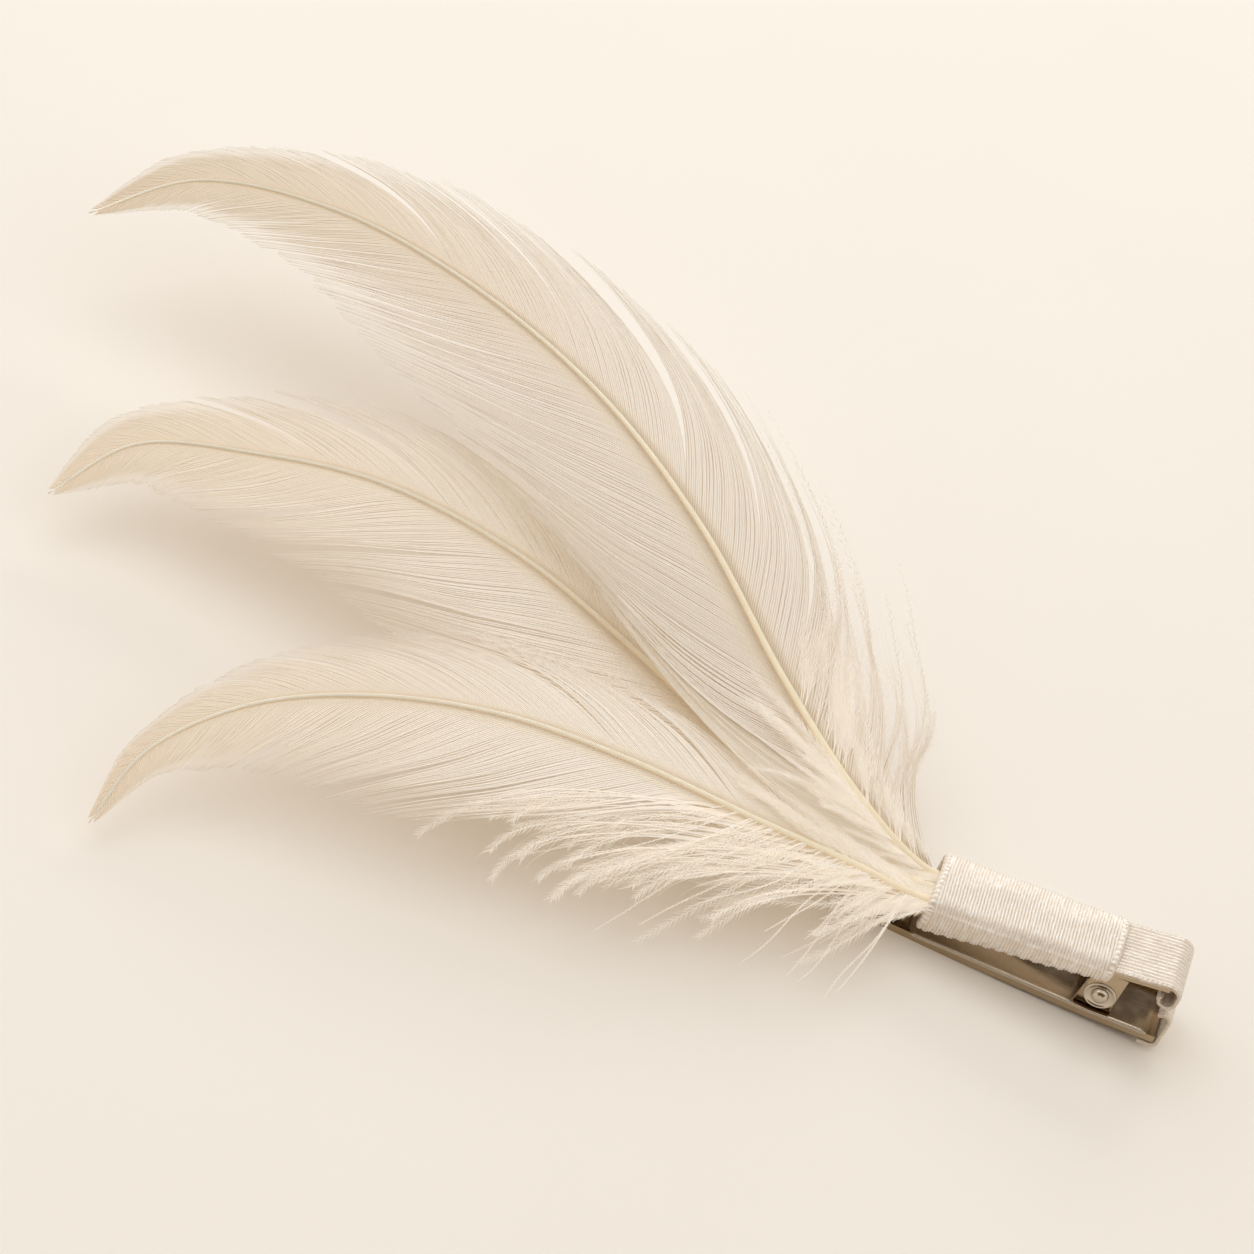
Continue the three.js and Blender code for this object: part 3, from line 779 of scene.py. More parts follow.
@dataclass
class Vane:
    """One side of a feather: barbs from the shaft to the edge, clinging together in locks."""

    shaft: Shaft
    side: Side
    plan: VanePlan
    start: float = 0.0  # share of the shaft where the first barb starts
    stop: float = 0.99
    steps: int = 18
    ridge: float = 0.06
    fullness: float = 1.35  # barb width over barb spacing
    sweep: float = 1.0  # how far forward every barb runs, over the usual
    drop: float = 0.0  # how far the layer lies below the vane's plane, in millimetres
    barbs: int = 0
    curve: float = 4.0  # how late a barb bends forward
    floor: float = 0.5  # no barb comes nearer to the table than this
    finest: float = 0.05  # width of the thinnest barb
    broad: float = 0.35  # width from which a barb has its full ridge
    slit_length: float = 0.03  # share of the shaft over which a slit closes
    slit_reach: float = 8.0  # barbs shorter than this part less at a slit

    def profile(self, share: Array) -> Array:
        """Reads the vane's reach at shares of the shaft, straight between the plan's points."""
        return np.interp(share, *np.array(self.plan.outline).T)

    def forward(self, root: Array) -> tuple[Array, Array]:
        """Works out how a barb from each root runs forward.

        Args:
            root: shares of the shaft.

        Returns:
            The shares that it runs for each millimetre out, in its first part and in its last.
        """
        near, far = self.shaft.slopes(root)
        turn = self.sweep * (self.plan.fan + (1 - self.plan.fan) * smooth(0.0, 0.26, root))
        scale = turn / self.shaft.visible
        return near * scale, (far - near) * scale / (self.curve + 1)

    def reach(self, root: Array) -> Array:
        """Works out how far out a barb from each root ends, so that its tip falls on the profile.

        Args:
            root: shares of the shaft.

        Returns:
            The reaches, which are halfway to the profile at the last tip, thirty times over.
        """
        near, far = self.forward(root)
        out = self.profile(root)
        for _ in range(30):
            out = 0.5 * (out + self.profile(np.minimum(root + out * (near + far), 1.0)))
        return out

    def split(self, count: int, rng: np.random.Generator) -> tuple[Array, Array]:
        """Shares barbs out into locks of random size.

        Args:
            count: how many barbs there are.
            rng: the source of the random sizes.

        Returns:
            Each barb's lock number, and its place across its lock from -1 to 1.
        """
        locks = self.shaft.plan.locks
        sizes = rng.integers(locks.smallest, locks.largest + 1, count)
        sizes[: int(count * self.plan.downy / locks.downy_size)] = locks.downy_size
        edges = np.concatenate([[0], np.cumsum(sizes)])
        number = np.searchsorted(edges, np.arange(count), side="right") - 1
        place = (np.arange(count) - edges[number] + 0.5) / sizes[number] * 2 - 1
        return number, place

    def build(self, name: str) -> bpy.types.Object:
        """Makes the vane's barbs, and barbules on the downy ones.

        A barb's distance out grows evenly from the shaft to its reach. Its run forward is its
        first slope times the way out, plus its last slope times the way out to the power of the
        curve plus one, so it bends late. Its share of the shaft is drawn towards the middle of
        its lock by the pinch. On the tip's side of a slit barbs lie closer to the shaft, and on the
        other side further out. The height follows the vane's droop plus the lock's own lift.

        Args:
            name: the piece's name.

        Returns:
            The piece.
        """
        plan, locks = self.shaft.plan, self.shaft.plan.locks
        rng = np.random.default_rng(locks.seed * 10 + self.side.value + int(self.drop * 7))
        count = self.barbs or plan.barbs
        root = np.linspace(self.start, self.stop, count)
        number, place = self.split(count, rng)
        lots = number.max() + 1
        middle = np.bincount(number, root) / np.bincount(number)
        downy = smooth(self.plan.downy, self.plan.downy * 0.6, root) if self.plan.downy else 0 * root
        apart = rng.random(lots) < locks.share_apart
        pinch = (np.where(apart, locks.apart, locks.pinch) * rng.uniform(0.4, 1.1, lots))[number]
        pinch = ((pinch + (locks.downy_pinch - pinch) * downy) * smooth(0.95, 0.6, root))[:, None]
        lift = ((locks.lift * rng.uniform(-0.5, 1.0, lots))[number] * (1 + 4 * downy))[:, None]
        short = (rng.random(lots) < locks.share_short)[number]
        length = 1 + rng.uniform(-1, 1, lots)[number] * (locks.uneven[0] + locks.uneven[1] * downy)
        length = length - locks.shorter * downy * short
        reach = self.reach(root) * length * (1 - (locks.notch + 0.2 * downy) * np.abs(place) ** 2.2)
        reach *= 1 + rng.normal(0, 1, count) * (locks.ragged[0] + locks.ragged[1] * downy)
        t = np.linspace(0, 1, self.steps)[None, :] ** 0.85
        near, far = self.forward(root)
        vary = 1 + rng.normal(0, 1, count) * locks.stray[0]
        vary = vary + rng.normal(0, 1, lots)[number] * locks.stray[1] * downy
        run = (near * vary * reach)[:, None] * t + (far * vary * reach)[:, None] * t ** (self.curve + 1)
        outwards = ((near + far) * vary * reach)[:, None] * (1.75 * t - 0.75 * t**2)
        run = run + (self.plan.curl * downy)[:, None] * (outwards - run)
        drawn = pinch * (middle[number] - root)[:, None] * t**2.2
        out = reach[:, None] * t
        for where, gap in self.plan.slits:
            away = root - where
            pull = np.where(away > 0, -gap, 0.5 * gap) * np.exp(-np.abs(away) / self.slit_length)
            out = out + (pull * np.minimum(1, reach / self.slit_reach))[:, None] * t**1.5
        share = root[:, None] + run + drawn
        radius = 0.8 * self.shaft.radius(root)[:, None]
        sway = (locks.sway[0] + locks.sway[1] * downy)[:, None]
        wave = rng.normal(0, 1.0, (count, 1)) * np.sin(t * math.pi * 1.5) * sway
        height = -plan.droop * (out / plan.droop_reach) ** 2 + lift * t**2 + wave * t
        height = height - self.drop * smooth(0, 0.15, t)
        centre = self.shaft.beside(share, self.side.value * (radius + out), height)
        centre[..., 2] = np.maximum(centre[..., 2], self.floor)
        frames = strip_frame(centre, self.shaft.reads(self.shaft.up, np.clip(share, 0, 1)))
        spacing = self.shaft.visible * (self.stop - self.start) / count
        lean = (near[:, None] + (self.curve + 1) * far[:, None] * t**self.curve) * self.shaft.visible
        closer, taper = 1 - pinch * t**2.2 * 0.7, 1 - 0.85 * smooth(0.82, 1.0, t)
        width = self.fullness * spacing / np.hypot(1, lean) * closer * taper
        width = np.maximum(width, self.finest) * (1 - 0.5 * downy[:, None] * t)
        numbers = vertex_numbers(
            (count, self.steps, 3),
            along=t[..., None],
            lot=(0.5 * rng.random(count) + 0.5 * rng.random(lots)[number])[:, None, None],
            # the ridge vertex carries the painted highlight
            crest=np.array([0.0, 0.0, 1.0]),
            soft=downy[:, None, None] * t[..., None],
            tip=root[:, None, None],
        )
        ridge = self.ridge * np.minimum(1, width / self.broad)
        parts = [(*strip_mesh(centre, *frames[1:], width, ridge), numbers)]
        soft = (downy > 0.3) & (np.abs(place) < 0.2)
        if soft.any():
            scale = np.minimum(1, reach / 12)[soft] * (0.5 + 0.5 * downy[soft])
            barbs = tuple(rows[soft] for rows in (centre, *frames))
            parts.append(Barbules(length=1.9, first=0.35).grow(barbs, scale, rng))
        return join_parts(name, parts)


@dataclass(frozen=True)
class Down:
    """Loose wisps by the quill: soft curved barbs that carry fine barbules on both sides."""

    side: Side
    count: int
    root: Pair  # shares of the shaft between which the barbs start
    length: Pair  # in millimetres, at the first root and at the last
    angle: Pair  # degrees from the shaft, at the first root and at the last
    spread: float
    sag: float  # how far a tip hangs below its root
    turn: float  # degrees that a wisp bends forward along its length
    seed: int
    floor: float = 0.5  # no barb comes nearer to the table than this
    fluff: float = 1.9  # length of the barbules
    steps: int = 22
    width: float = 0.15

    def build(self, shaft: Shaft, name: str) -> bpy.types.Object:
        """Makes the wisps.

        A wisp's heading starts at its angle from the shaft and turns steadily, so its path is
        the running sum of short steps along the heading. Its height falls by the sag.

        Args:
            shaft: the feather's shaft.
            name: the piece's name.

        Returns:
            The piece.
        """
        rng = np.random.default_rng(self.seed)
        mix = np.sort(rng.random(self.count))
        root = between(self.root, mix)
        length = between(self.length, mix) * rng.uniform(0.6, 1.1, self.count)
        start = np.radians(between(self.angle, mix))
        start += np.radians(rng.normal(0, self.spread, self.count))
        turn = np.radians(rng.normal(self.turn, 9, self.count))
        t = np.linspace(0, 1, self.steps)[None, :]
        swing = np.radians(rng.normal(0, 4, (self.count, 1))) * np.sin(t * 7)
        heading = start[:, None] + turn[:, None] * t + swing
        run = length[:, None] / (self.steps - 1)
        forward, out = (np.cumsum(run * go, 1) - run * go[:, :1] for go in (np.cos(heading), np.sin(heading)))
        base = shaft.beside(root, self.side.value * 0.4, 0.25)
        along = shaft.reads(shaft.along, root)[:, None]
        across = self.side.value * shaft.reads(shaft.across, root)[:, None]
        centre = base[:, None] + forward[..., None] * along + out[..., None] * across
        sag = self.sag * rng.uniform(0.2, 1.1, (self.count, 1)) * t**1.6
        centre[..., 2] += 0.4 * np.sin(math.pi * t) - sag
        centre[..., 2] = np.maximum(centre[..., 2], self.floor + 0.2 * rng.random((self.count, 1)))
        frames = strip_frame(centre, Z_UP)
        width = self.width * (1 - 0.75 * t) * np.ones((self.count, 1))
        along = (0.3 + 0.7 * t)[..., None]
        lot = 0.6 * rng.random(self.count)[:, None, None]
        # wisps take nearly all of the painted ridge highlight
        numbers = vertex_numbers((*width.shape, 3), along=along, lot=lot, crest=0.9, soft=1.0, tip=0.0)
        mesh = strip_mesh(centre, *frames[1:], width, 0.25 * width)
        side = Barbules(self.fluff, first=0.12).grow((centre, *frames), np.minimum(1, length / 14), rng)
        return join_parts(name, [(*mesh, numbers), side])


@dataclass
class Feather:
    """One feather: its shaft, its two vanes and its down."""

    plan: FeatherPlan
    vane_finish: bpy.types.Material
    down_finish: bpy.types.Material
    shaft_finish: bpy.types.Material
    wisps: tuple[Down, ...]
    rings: int = 220
    quill_rings: int = 24
    ring_size: int = 14

    def shaft_piece(self, shaft: Shaft) -> bpy.types.Object:
        """Makes the quill and shaft.

        A ring is an ellipse of the shaft's radius across and 0.95 of it up, with a shallow groove
        below. The rings are close together and get small towards the last one.

        Args:
            shaft: the shaft's curve.

        Returns:
            The piece.
        """
        quill = np.linspace(-0.98, 0, self.quill_rings)[:-1]
        share = np.concatenate([quill, np.linspace(0, 1, self.rings - len(quill))])[:, None]
        turn = whole_turn(self.ring_size)
        radius = shaft.radius(share) * np.where(share < 0, 0.97, 0.86)
        radius = radius * np.minimum(1, (1.02 - share) / 0.05)
        groove = 1 - 0.18 * np.exp(-((turn - 1.5 * math.pi) ** 2) / 0.15)
        height = radius * 0.95 * np.sin(turn) * groove
        points = shaft.beside(share + 0 * turn, radius * np.cos(turn), height)
        numbers = {"along": share + 0 * turn, "round": turn + 0 * share}
        faces = tube_faces(self.rings, self.ring_size)
        return make_piece(self.plan.name + "_shaft", to_metres(points), *faces, numbers)

    def build(self) -> None:
        """Makes and dresses every piece of the feather."""
        name = self.plan.name
        shaft = Shaft(self.plan)
        settle(self.shaft_piece(shaft), UPPER_BODY, "feather", self.shaft_finish, name)
        for side, plan in ((Side.OUTER, self.plan.outer), (Side.INNER, self.plan.inner)):
            vane = f"{name}_{side.name.lower()}"
            piece = Vane(shaft, side, plan).build(vane + "_vane")
            settle(piece, UPPER_BODY, "feather", self.vane_finish, name)
            if plan.band:
                layer = VanePlan(outline=plan.band)
                band = Vane(shaft, side, layer, -0.03, 0.18, sweep=0.82, drop=0.35, barbs=190, curve=2.0)
                # the band lies in the vane's shade and takes the paler, glowing down finish: painted light
                settle(band.build(vane + "_band"), UPPER_BODY, "feather", self.down_finish, name)
        for number, down in enumerate(self.wisps):
            piece = down.build(shaft, f"{name}_down_{number + 1}")
            settle(piece, UPPER_BODY, "feather", self.down_finish, name)


UPPER = FeatherPlan(
    name="upper_feather",
    points=(
        (-11, 2.4, 8.6), (-18, 2.4, 7.2), (-25.5, 2.4, 5.7), (-37, 4, 10.2), (-52, 13.5, 14.4),
        (-70, 28, 19.5), (-89.5, 40, 22.5), (-111.5, 48, 23.5), (-131.5, 50.5, 23), (-149.5, 47.5, 20),
        (-160, 38, 15),
    ),
    outer=VanePlan(
        outline=((0, 2), (0.03, 12), (0.12, 21), (0.25, 23.5), (0.4, 21), (0.7, 14.5), (0.82, 9), (1, 0.2)),
        downy=0.2,
        fan=0.7,
        slits=((0.12, 0.8), (0.19, 1.3), (0.27, 1.1), (0.38, 2.0), (0.52, 0.5), (0.66, 0.8)),
    ),
    inner=VanePlan(
        outline=(
            (0, 0.2), (0.04, 0.5), (0.1, 2.2), (0.2, 8), (0.3, 14.5), (0.37, 18.5), (0.5, 20.5), (0.65, 18.5),
            (0.85, 8.5), (1, 0.2),
        ),
        slits=((0.34, 0.5), (0.56, 0.5)),
        band=((0, 0.3), (0.04, 1.2), (0.1, 8.5), (0.3, 17), (0.42, 19), (0.6, 10), (1, 2)),
    ),
    barbs=300,
    locks=Locks(seed=3),
)
MIDDLE = FeatherPlan(
    name="middle_feather",
    points=(
        (-11, 0, 8.6), (-18, 0, 7.2), (-25.5, -0.1, 5.45), (-36, 0.5, 5.5), (-51, 4, 7.8), (-70, 10, 11),
        (-88.5, 14.5, 13.5), (-108.5, 15, 14.5), (-125, 11.5, 13), (-139, 5.5, 11), (-145.5, -5, 7),
    ),
    outer=VanePlan(
        outline=((0, 0.3), (0.04, 1.2), (0.1, 7), (0.25, 13), (0.45, 15), (0.7, 12.5), (0.8, 9.5), (1, 0.2)),
        slits=((0.24, 0.8), (0.38, 1.2), (0.48, 0.9), (0.58, 1.2), (0.7, 0.7)),
    ),
    inner=VanePlan(
        outline=((0, 0.3), (0.06, 1.5), (0.14, 12), (0.3, 19), (0.5, 21), (0.62, 20), (0.82, 11.5), (1, 0.2)),
        slits=((0.36, 0.7), (0.5, 0.9), (0.62, 0.8)),
    ),
    barbs=270,
    locks=Locks(seed=8),
)
LOWER = FeatherPlan(
    name="lower_feather",
    points=(
        (-11, -2.4, 8.6), (-18, -2.4, 7.2), (-25.5, -2.6, 5.6), (-35, -4.8, 8), (-48.5, -7, 9.9),
        (-65.5, -9.5, 12.3), (-82, -13, 13.5), (-98, -19.5, 13), (-110.5, -28, 11), (-118.5, -38.5, 7.5),
        (-120.5, -49, 3.5),
    ),
    outer=VanePlan(
        outline=(
            (0, 0.3), (0.1, 3.5), (0.25, 8.5), (0.38, 12.5), (0.5, 13), (0.75, 6), (0.87, 2.6), (1, 0.2),
        ),
        downy=0.14,
        slits=((0.12, 0.8), (0.22, 1.0), (0.36, 0.7)),
    ),
    inner=VanePlan(
        outline=((0, 0.6), (0.05, 9), (0.1, 16), (0.3, 23), (0.4, 24), (0.7, 14.5), (0.9, 3.5), (1, 0.2)),
        downy=0.3,
        fan=0.85,
        slits=((0.36, 0.5), (0.45, 0.6), (0.54, 0.4), (0.66, 0.4)),
        curl=1.0,
    ),
    barbs=250,
    locks=Locks(seed=12),
)
WISPS = {
    "upper_feather": (
        Down(Side.OUTER, 30, (0.0, 0.18), (10, 25), (56, 42), 7, 1.0, -14, 21),
        Down(Side.INNER, 40, (0.0, 0.1), (9, 20), (24, 14), 5, 0.8, -6, 22),
        Down(Side.INNER, 26, (-0.3, 0.02), (8, 12), (14, 18), 5, 0.2, -6, 27, floor=4.0),
    ),
    "middle_feather": (
        Down(Side.INNER, 36, (-0.3, 0.1), (9, 16), (26, 24), 6, 0.4, -8, 23, floor=3.0),
    ),
    "lower_feather": (
        Down(Side.INNER, 26, (0.0, 0.26), (20, 34), (54, 46), 5, 5.5, -14, 24),
        Down(Side.INNER, 36, (-0.2, 0.08), (8, 13), (36, 30), 8, 1.2, -10, 26, floor=2.8),
        Down(Side.OUTER, 40, (0.0, 0.12), (8, 18), (30, 22), 5, 0.3, -8, 25),
        Down(Side.INNER, 26, (0.0, 0.24), (18, 31), (58, 50), 8, 5.5, -16, 28, fluff=0.5),
    ),
}


def left_of(line: Array) -> Array:
    """Gives unit directions to the left of a line in X and Z."""
    along = unit(np.gradient(line, axis=0))
    return np.stack([-along[:, 1], along[:, 0]], 1)


def arc(x: float, z: float, radius: float, first: float, last: float, steps: int) -> Array:
    """Gives points on an arc in X and Z between two angles in degrees."""
    turn = np.radians(np.linspace(first, last, steps))
    return np.stack([x + radius * np.cos(turn), z + radius * np.sin(turn)], 1)


def even_line(points: Array, spacing: float) -> Array:
    """Spaces points evenly along a line, and rounds its corners a little by averaging.

    Args:
        points: the line in X and Z.
        spacing: millimetres between the new points.

    Returns:
        The new line.
    """
    run = running_length(points)
    at = np.linspace(0, run[-1], int(run[-1] / spacing) + 1)
    line = np.stack([np.interp(at, run, points[:, i]) for i in range(2)], 1)
    for _ in range(3):
        line[1:-1] = (line[:-2] + 2 * line[1:-1] + line[2:]) / 4
    return line


@dataclass
class RibbonStrap:
    """A flat length of satin ribbon that follows a line in X and Z, with its width along Y."""

    name: str
    line: Array
    width: float = 9.6
    thickness: float = 0.45
    spacing: float = 0.12
    rib_pitch: float = 0.6
    rib_depth: float = 0.15
    rib_points: int = 6  # points across one rib
    bead_pitch: float = 0.62
    selvedge: float = 0.55
    bead: float = 0.12
    rounding: float = 0.2

    def build(self) -> bpy.types.Object:
        """Makes the ribbon.

        The outer face stands off the inner one by the thickness, plus ribs that are a sine of Y,
        plus a beaded selvedge: inside the selvedge's width the face rises by a half sine across
        it, times beads that are a sine of the length. Both faces fall to each other at the edge.

        Returns:
            The piece.
        """
        line = even_line(self.line, self.spacing)
        bead = ripple(running_length(line), self.bead_pitch)[:, None]
        half = self.width / 2
        y = np.linspace(-half, half, int(self.width / self.rib_pitch * self.rib_points) + 1)
        from_edge = (half - np.abs(y)) / self.selvedge
        edge = np.clip(from_edge, 0, 1)
        rib = ripple(y + half, self.rib_pitch) * smooth(0.9, 1.1, from_edge)
        fall = (self.rounding * (1 - np.sqrt(np.clip(edge * 2.2, 0, 1))))[None, :]
        top = self.rib_depth * rib[None, :] + self.bead * np.sin(math.pi * edge)[None, :] * bead - fall
        face = left_of(line)[:, None]
        outer = line[:, None] + (self.thickness + top)[..., None] * face
        inner = line[:, None] + fall[..., None] * face
        flat = np.concatenate([outer, inner[:, ::-1]], 1)
        across = np.broadcast_to(np.concatenate([y, y[::-1]]), flat.shape[:2])
        rings = np.stack([flat[..., 0], across, flat[..., 1]], -1)
        # rib number: painted light on rib tops, painted shade in furrows and on the inner face
        shade = np.concatenate([np.clip(0.3 + 0.7 * top / self.rib_depth, 0, 1), np.full(top.shape, 0.3)], 1)
        sides, ends = tube_faces(*rings.shape[:2])
        return make_piece(self.name, to_metres(rings), sides[:, ::-1], ends[:, ::-1], {"rib": shade})


@dataclass
class SatinWrap:
    """The ribbon wound round the upper jaw and the quills: a ribbed sleeve with picot edges."""

    length: float = 24.5
    left: Triple = (5.6, 2.45, 8.7)  # half width, bottom and top at the feathers' end
    right: Triple = (5.3, 7.75, 11.9)
    corner: float = 1.7
    crown: float = 0.9  # how far the top's two long edges lie below its middle
    wall: float = 1.1
    around: int = 260
    rib_pitch: float = 0.4
    rib_depth: float = 0.1
    rib_points: int = 6  # points across one rib
    selvedge: float = 0.95
    bead_pitch: float = 0.8
    bead: float = 0.12
    scallop_pitch: float = 1.55
    scallop: float = 0.16
    hem_height: float = 0.5  # how far above the underside the scallops are
    hem_spread: float = 0.18  # how tall they are, squared

    def build(self) -> bpy.types.Object:
        """Makes the wrap.

        Its section is a rectangle with round corners that changes evenly along X. The outer face
        has ribs, a sine of X with a slight slant, and at each end a selvedge whose height is a
        half sine across it times beads along it. Its near lower edge is scalloped. The face then
        turns in and runs back inside.

        Returns:
            The piece.
        """
        x = np.linspace(-self.length, 0, int(self.length / self.rib_pitch * self.rib_points))[:, None]
        share = (x + self.length) / self.length
        half, bottom, top = (between(ends, share) for ends in zip(self.left, self.right))
        place, normal, run = self._section(half, bottom, top)
        above = place[..., 1] - bottom
        slant = 0.18 * np.sin(run / 3.1) + 0.25 * above / 6
        rib = ripple(x + slant, self.rib_pitch)
        from_end = np.minimum(x + self.length, -x) / self.selvedge
        edge = np.clip(from_end, 0, 1)
        inside = smooth(0.9, 1.15, from_end)
        bead = ripple(run, self.bead_pitch)
        swell = 0.05 * np.sin(x * 0.55 + run * 0.8)
        hem = np.exp(-((above - self.hem_height) ** 2) / self.hem_spread) * (place[..., 0] < 0)
        scallop = self.scallop * hem * ripple(x, self.scallop_pitch)
        height = self.rib_depth * rib * inside + self.bead * np.sin(math.pi * edge) * bead
        height = height + (swell + scallop) * inside - 0.45 * (1 - np.sqrt(np.clip(edge * 2.5, 0, 1)))
        outer = place + (height - 0.12)[..., None] * normal
        inner = place - self.wall * normal
        x = np.broadcast_to(x, run.shape)
        outer, inner = (np.stack([x, face[..., 0], face[..., 1]], -1) for face in (outer, inner))
        inner = inner[::-12]
        # rib number: painted light on rib and bead tops, painted shade in furrows and on the inner face
        shade = np.clip(0.3 + 0.7 * (rib * inside + bead * (1 - inside)), 0, 1)
        shade = np.concatenate([shade, np.full(inner.shape[:2], 0.2)], 0)
        rings = to_metres(np.concatenate([outer, inner], 0))
        return make_piece("satin_wrap_cloth", rings, loop_faces(*rings.shape[:2]), numbers={"rib": shade})

    def _section(self, half: Array, bottom: Array, top: Array) -> tuple[Array, Array, Array]:
        """Gives points round each section: straight sides joined by quarter circles.

        The top falls by the crown times the square of the way from its middle to its edge.

        Args:
            half: half widths, one a section.
            bottom: heights of the underside.
            top: heights of the top.

        Returns:
            Places and normals in Y and Z, and the distance run round the section.
        """
        r = self.corner
        wide, tall = 2 * (half - r), top - bottom - 2 * r
        quarter = math.pi * r / 2
        total = 2 * (wide + tall) + 4 * quarter
        run = np.linspace(0, 1, self.around, endpoint=False)[None, :] * total
        middle = (top + bottom) / 2
        turn, y, z, left = 0 * run, 0 * run, middle + 0 * run, run
        corners = ((1, 1, wide), (-1, 1, tall), (-1, -1, wide), (1, -1, tall))
        for number, (sign_y, sign_z, side) in enumerate(corners):
            here = left >= 0
            fresh = here & (left < quarter + side)
            first = number * math.pi / 2
            on_side = np.clip(left - quarter, 0, None)
            turn = np.where(fresh, first + np.clip(left, 0, quarter) / r, turn)
            y = np.where(fresh, sign_y * wide / 2 - np.sin(first + math.pi / 2) * on_side, y)
            z = np.where(fresh, middle + sign_z * tall / 2 + np.cos(first + math.pi / 2) * on_side, z)
            left = np.where(here, left - quarter - side, left)
        normal = np.stack([np.cos(turn), np.sin(turn)], -1)
        place = np.stack([y, z], -1) + r * normal
        upper = smooth(-0.2, 0.8, normal[..., 1])
        place[..., 1] -= self.crown * upper * (place[..., 0] / half) ** 2
        return place, normal, run


class Ribbons:
    """The wrap and the two ribbon ends, in cream satin."""

    LEVER_LINE = np.vstack([
        [[-2.2, 9.6], [0.0, 9.95]],
        arc(7.1, 10.25, 1.22, 100, 0, 14),
        arc(7.5, 9.3, 0.82, 0, -215, 20),
    ])
    TAB_LINE = np.vstack([
        [[6.9, 1.36]],
        arc(8.4, 2.05, 0.56, -80, 0, 8),
        [[8.97, 4.4]],
        arc(8.35, 6.05, 0.62, 0, 150, 14),
    ])[::-1]

    def build(self) -> None:
        """Makes and dresses the three ribbons."""
        round_cloth = SatinFinish("satin_round_clip", (3400.0, 1200.0, 1200.0)).build()
        long_cloth = SatinFinish("satin_along_lever", (700.0, 3000.0, 2000.0), 0.4).build()
        wrap = SatinWrap().build()
        settle(wrap, UPPER_BODY, "satin", round_cloth, "satin_wrap")
        lever = RibbonStrap("lever_ribbon_cloth", self.LEVER_LINE).build()
        settle(lever, UPPER_BODY, "satin", long_cloth, "lever_ribbon")
        tab = RibbonStrap("tab_ribbon_cloth", self.TAB_LINE).build()
        settle(tab, LOWER_BODY, "satin", long_cloth, "tab_ribbon")
        anchor = to_metres(np.array([8.0, 0.0, 1.4]))
        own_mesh(tab)


@dataclass
class PivotBoss:
    """The round pressing on each outer lug that the pin's head sits in: a rim round a flat."""

    face: float = 4.38  # distance of the lug's outer face from the middle
    size: int = 72
    rim: tuple[Pair, ...] = (
        (2.1, 0.0), (2.12, 0.1), (2.05, 0.18), (1.92, 0.2), (1.8, 0.16), (1.72, 0.06), (1.2, 0.05),
        (0.95, 0.05), (0.95, 0.0),
    )

    def build(self) -> bpy.types.Object:
        """Makes both bosses: the rim's profile, radius and height, turned once round the pin's axis.

        Returns:
            The piece.
        """
        turn = whole_turn(self.size)
        radius, rise = np.array(self.rim).T[..., None]
        faces = loop_faces(len(radius), self.size)[:, ::-1]
        parts = []
        for sign in (-1, 1):
            y = sign * (self.face + rise) + 0 * turn
            ring = [radius * np.cos(turn), y, PIVOT_HEIGHT + radius * np.sin(turn) * sign]
            parts.append((np.stack(ring, -1).reshape(-1, 3), faces, NO_TRIANGLES, {}))
        return join_parts("pivot_boss", parts, rounded=True)


@dataclass
class JawRims:
    """The rolled rims along the tops of the lower jaw's two walls."""

    line: tuple[Pair, ...] = ((-24.5, 0.95), (-18.0, 1.32), (0.0, 2.02), (7.6, 2.72))
    apart: float = 4.34  # distance of each rim from the middle
    radius: float = 0.26
    rounding: float = 0.5  # length over which each end gets small
    rings: int = 60
    size: int = 12

    def build(self) -> bpy.types.Object:
        """Makes both rims: circles along the wall's top edge, smaller at the two ends.

        Returns:
            The piece.
        """
        turn = whole_turn(self.size)
        knots = np.array(self.line)
        x = np.linspace(knots[0, 0], knots[-1, 0], self.rings)[:, None]
        z = np.interp(x, knots[:, 0], knots[:, 1])
        from_end = np.minimum(x - x[0], x[-1] - x)
        radius = self.radius * np.sqrt(np.clip(from_end / self.rounding, 0.05, 1))
        faces, ends = tube_faces(self.rings, self.size)
        parts = []
        for sign in (-1, 1):
            ring = [x + 0 * turn, sign * self.apart + radius * np.cos(turn), z + radius * np.sin(turn)]
            parts.append((np.stack(ring, -1).reshape(-1, 3), faces, ends, {}))
        return join_parts("jaw_rims", parts, rounded=True)


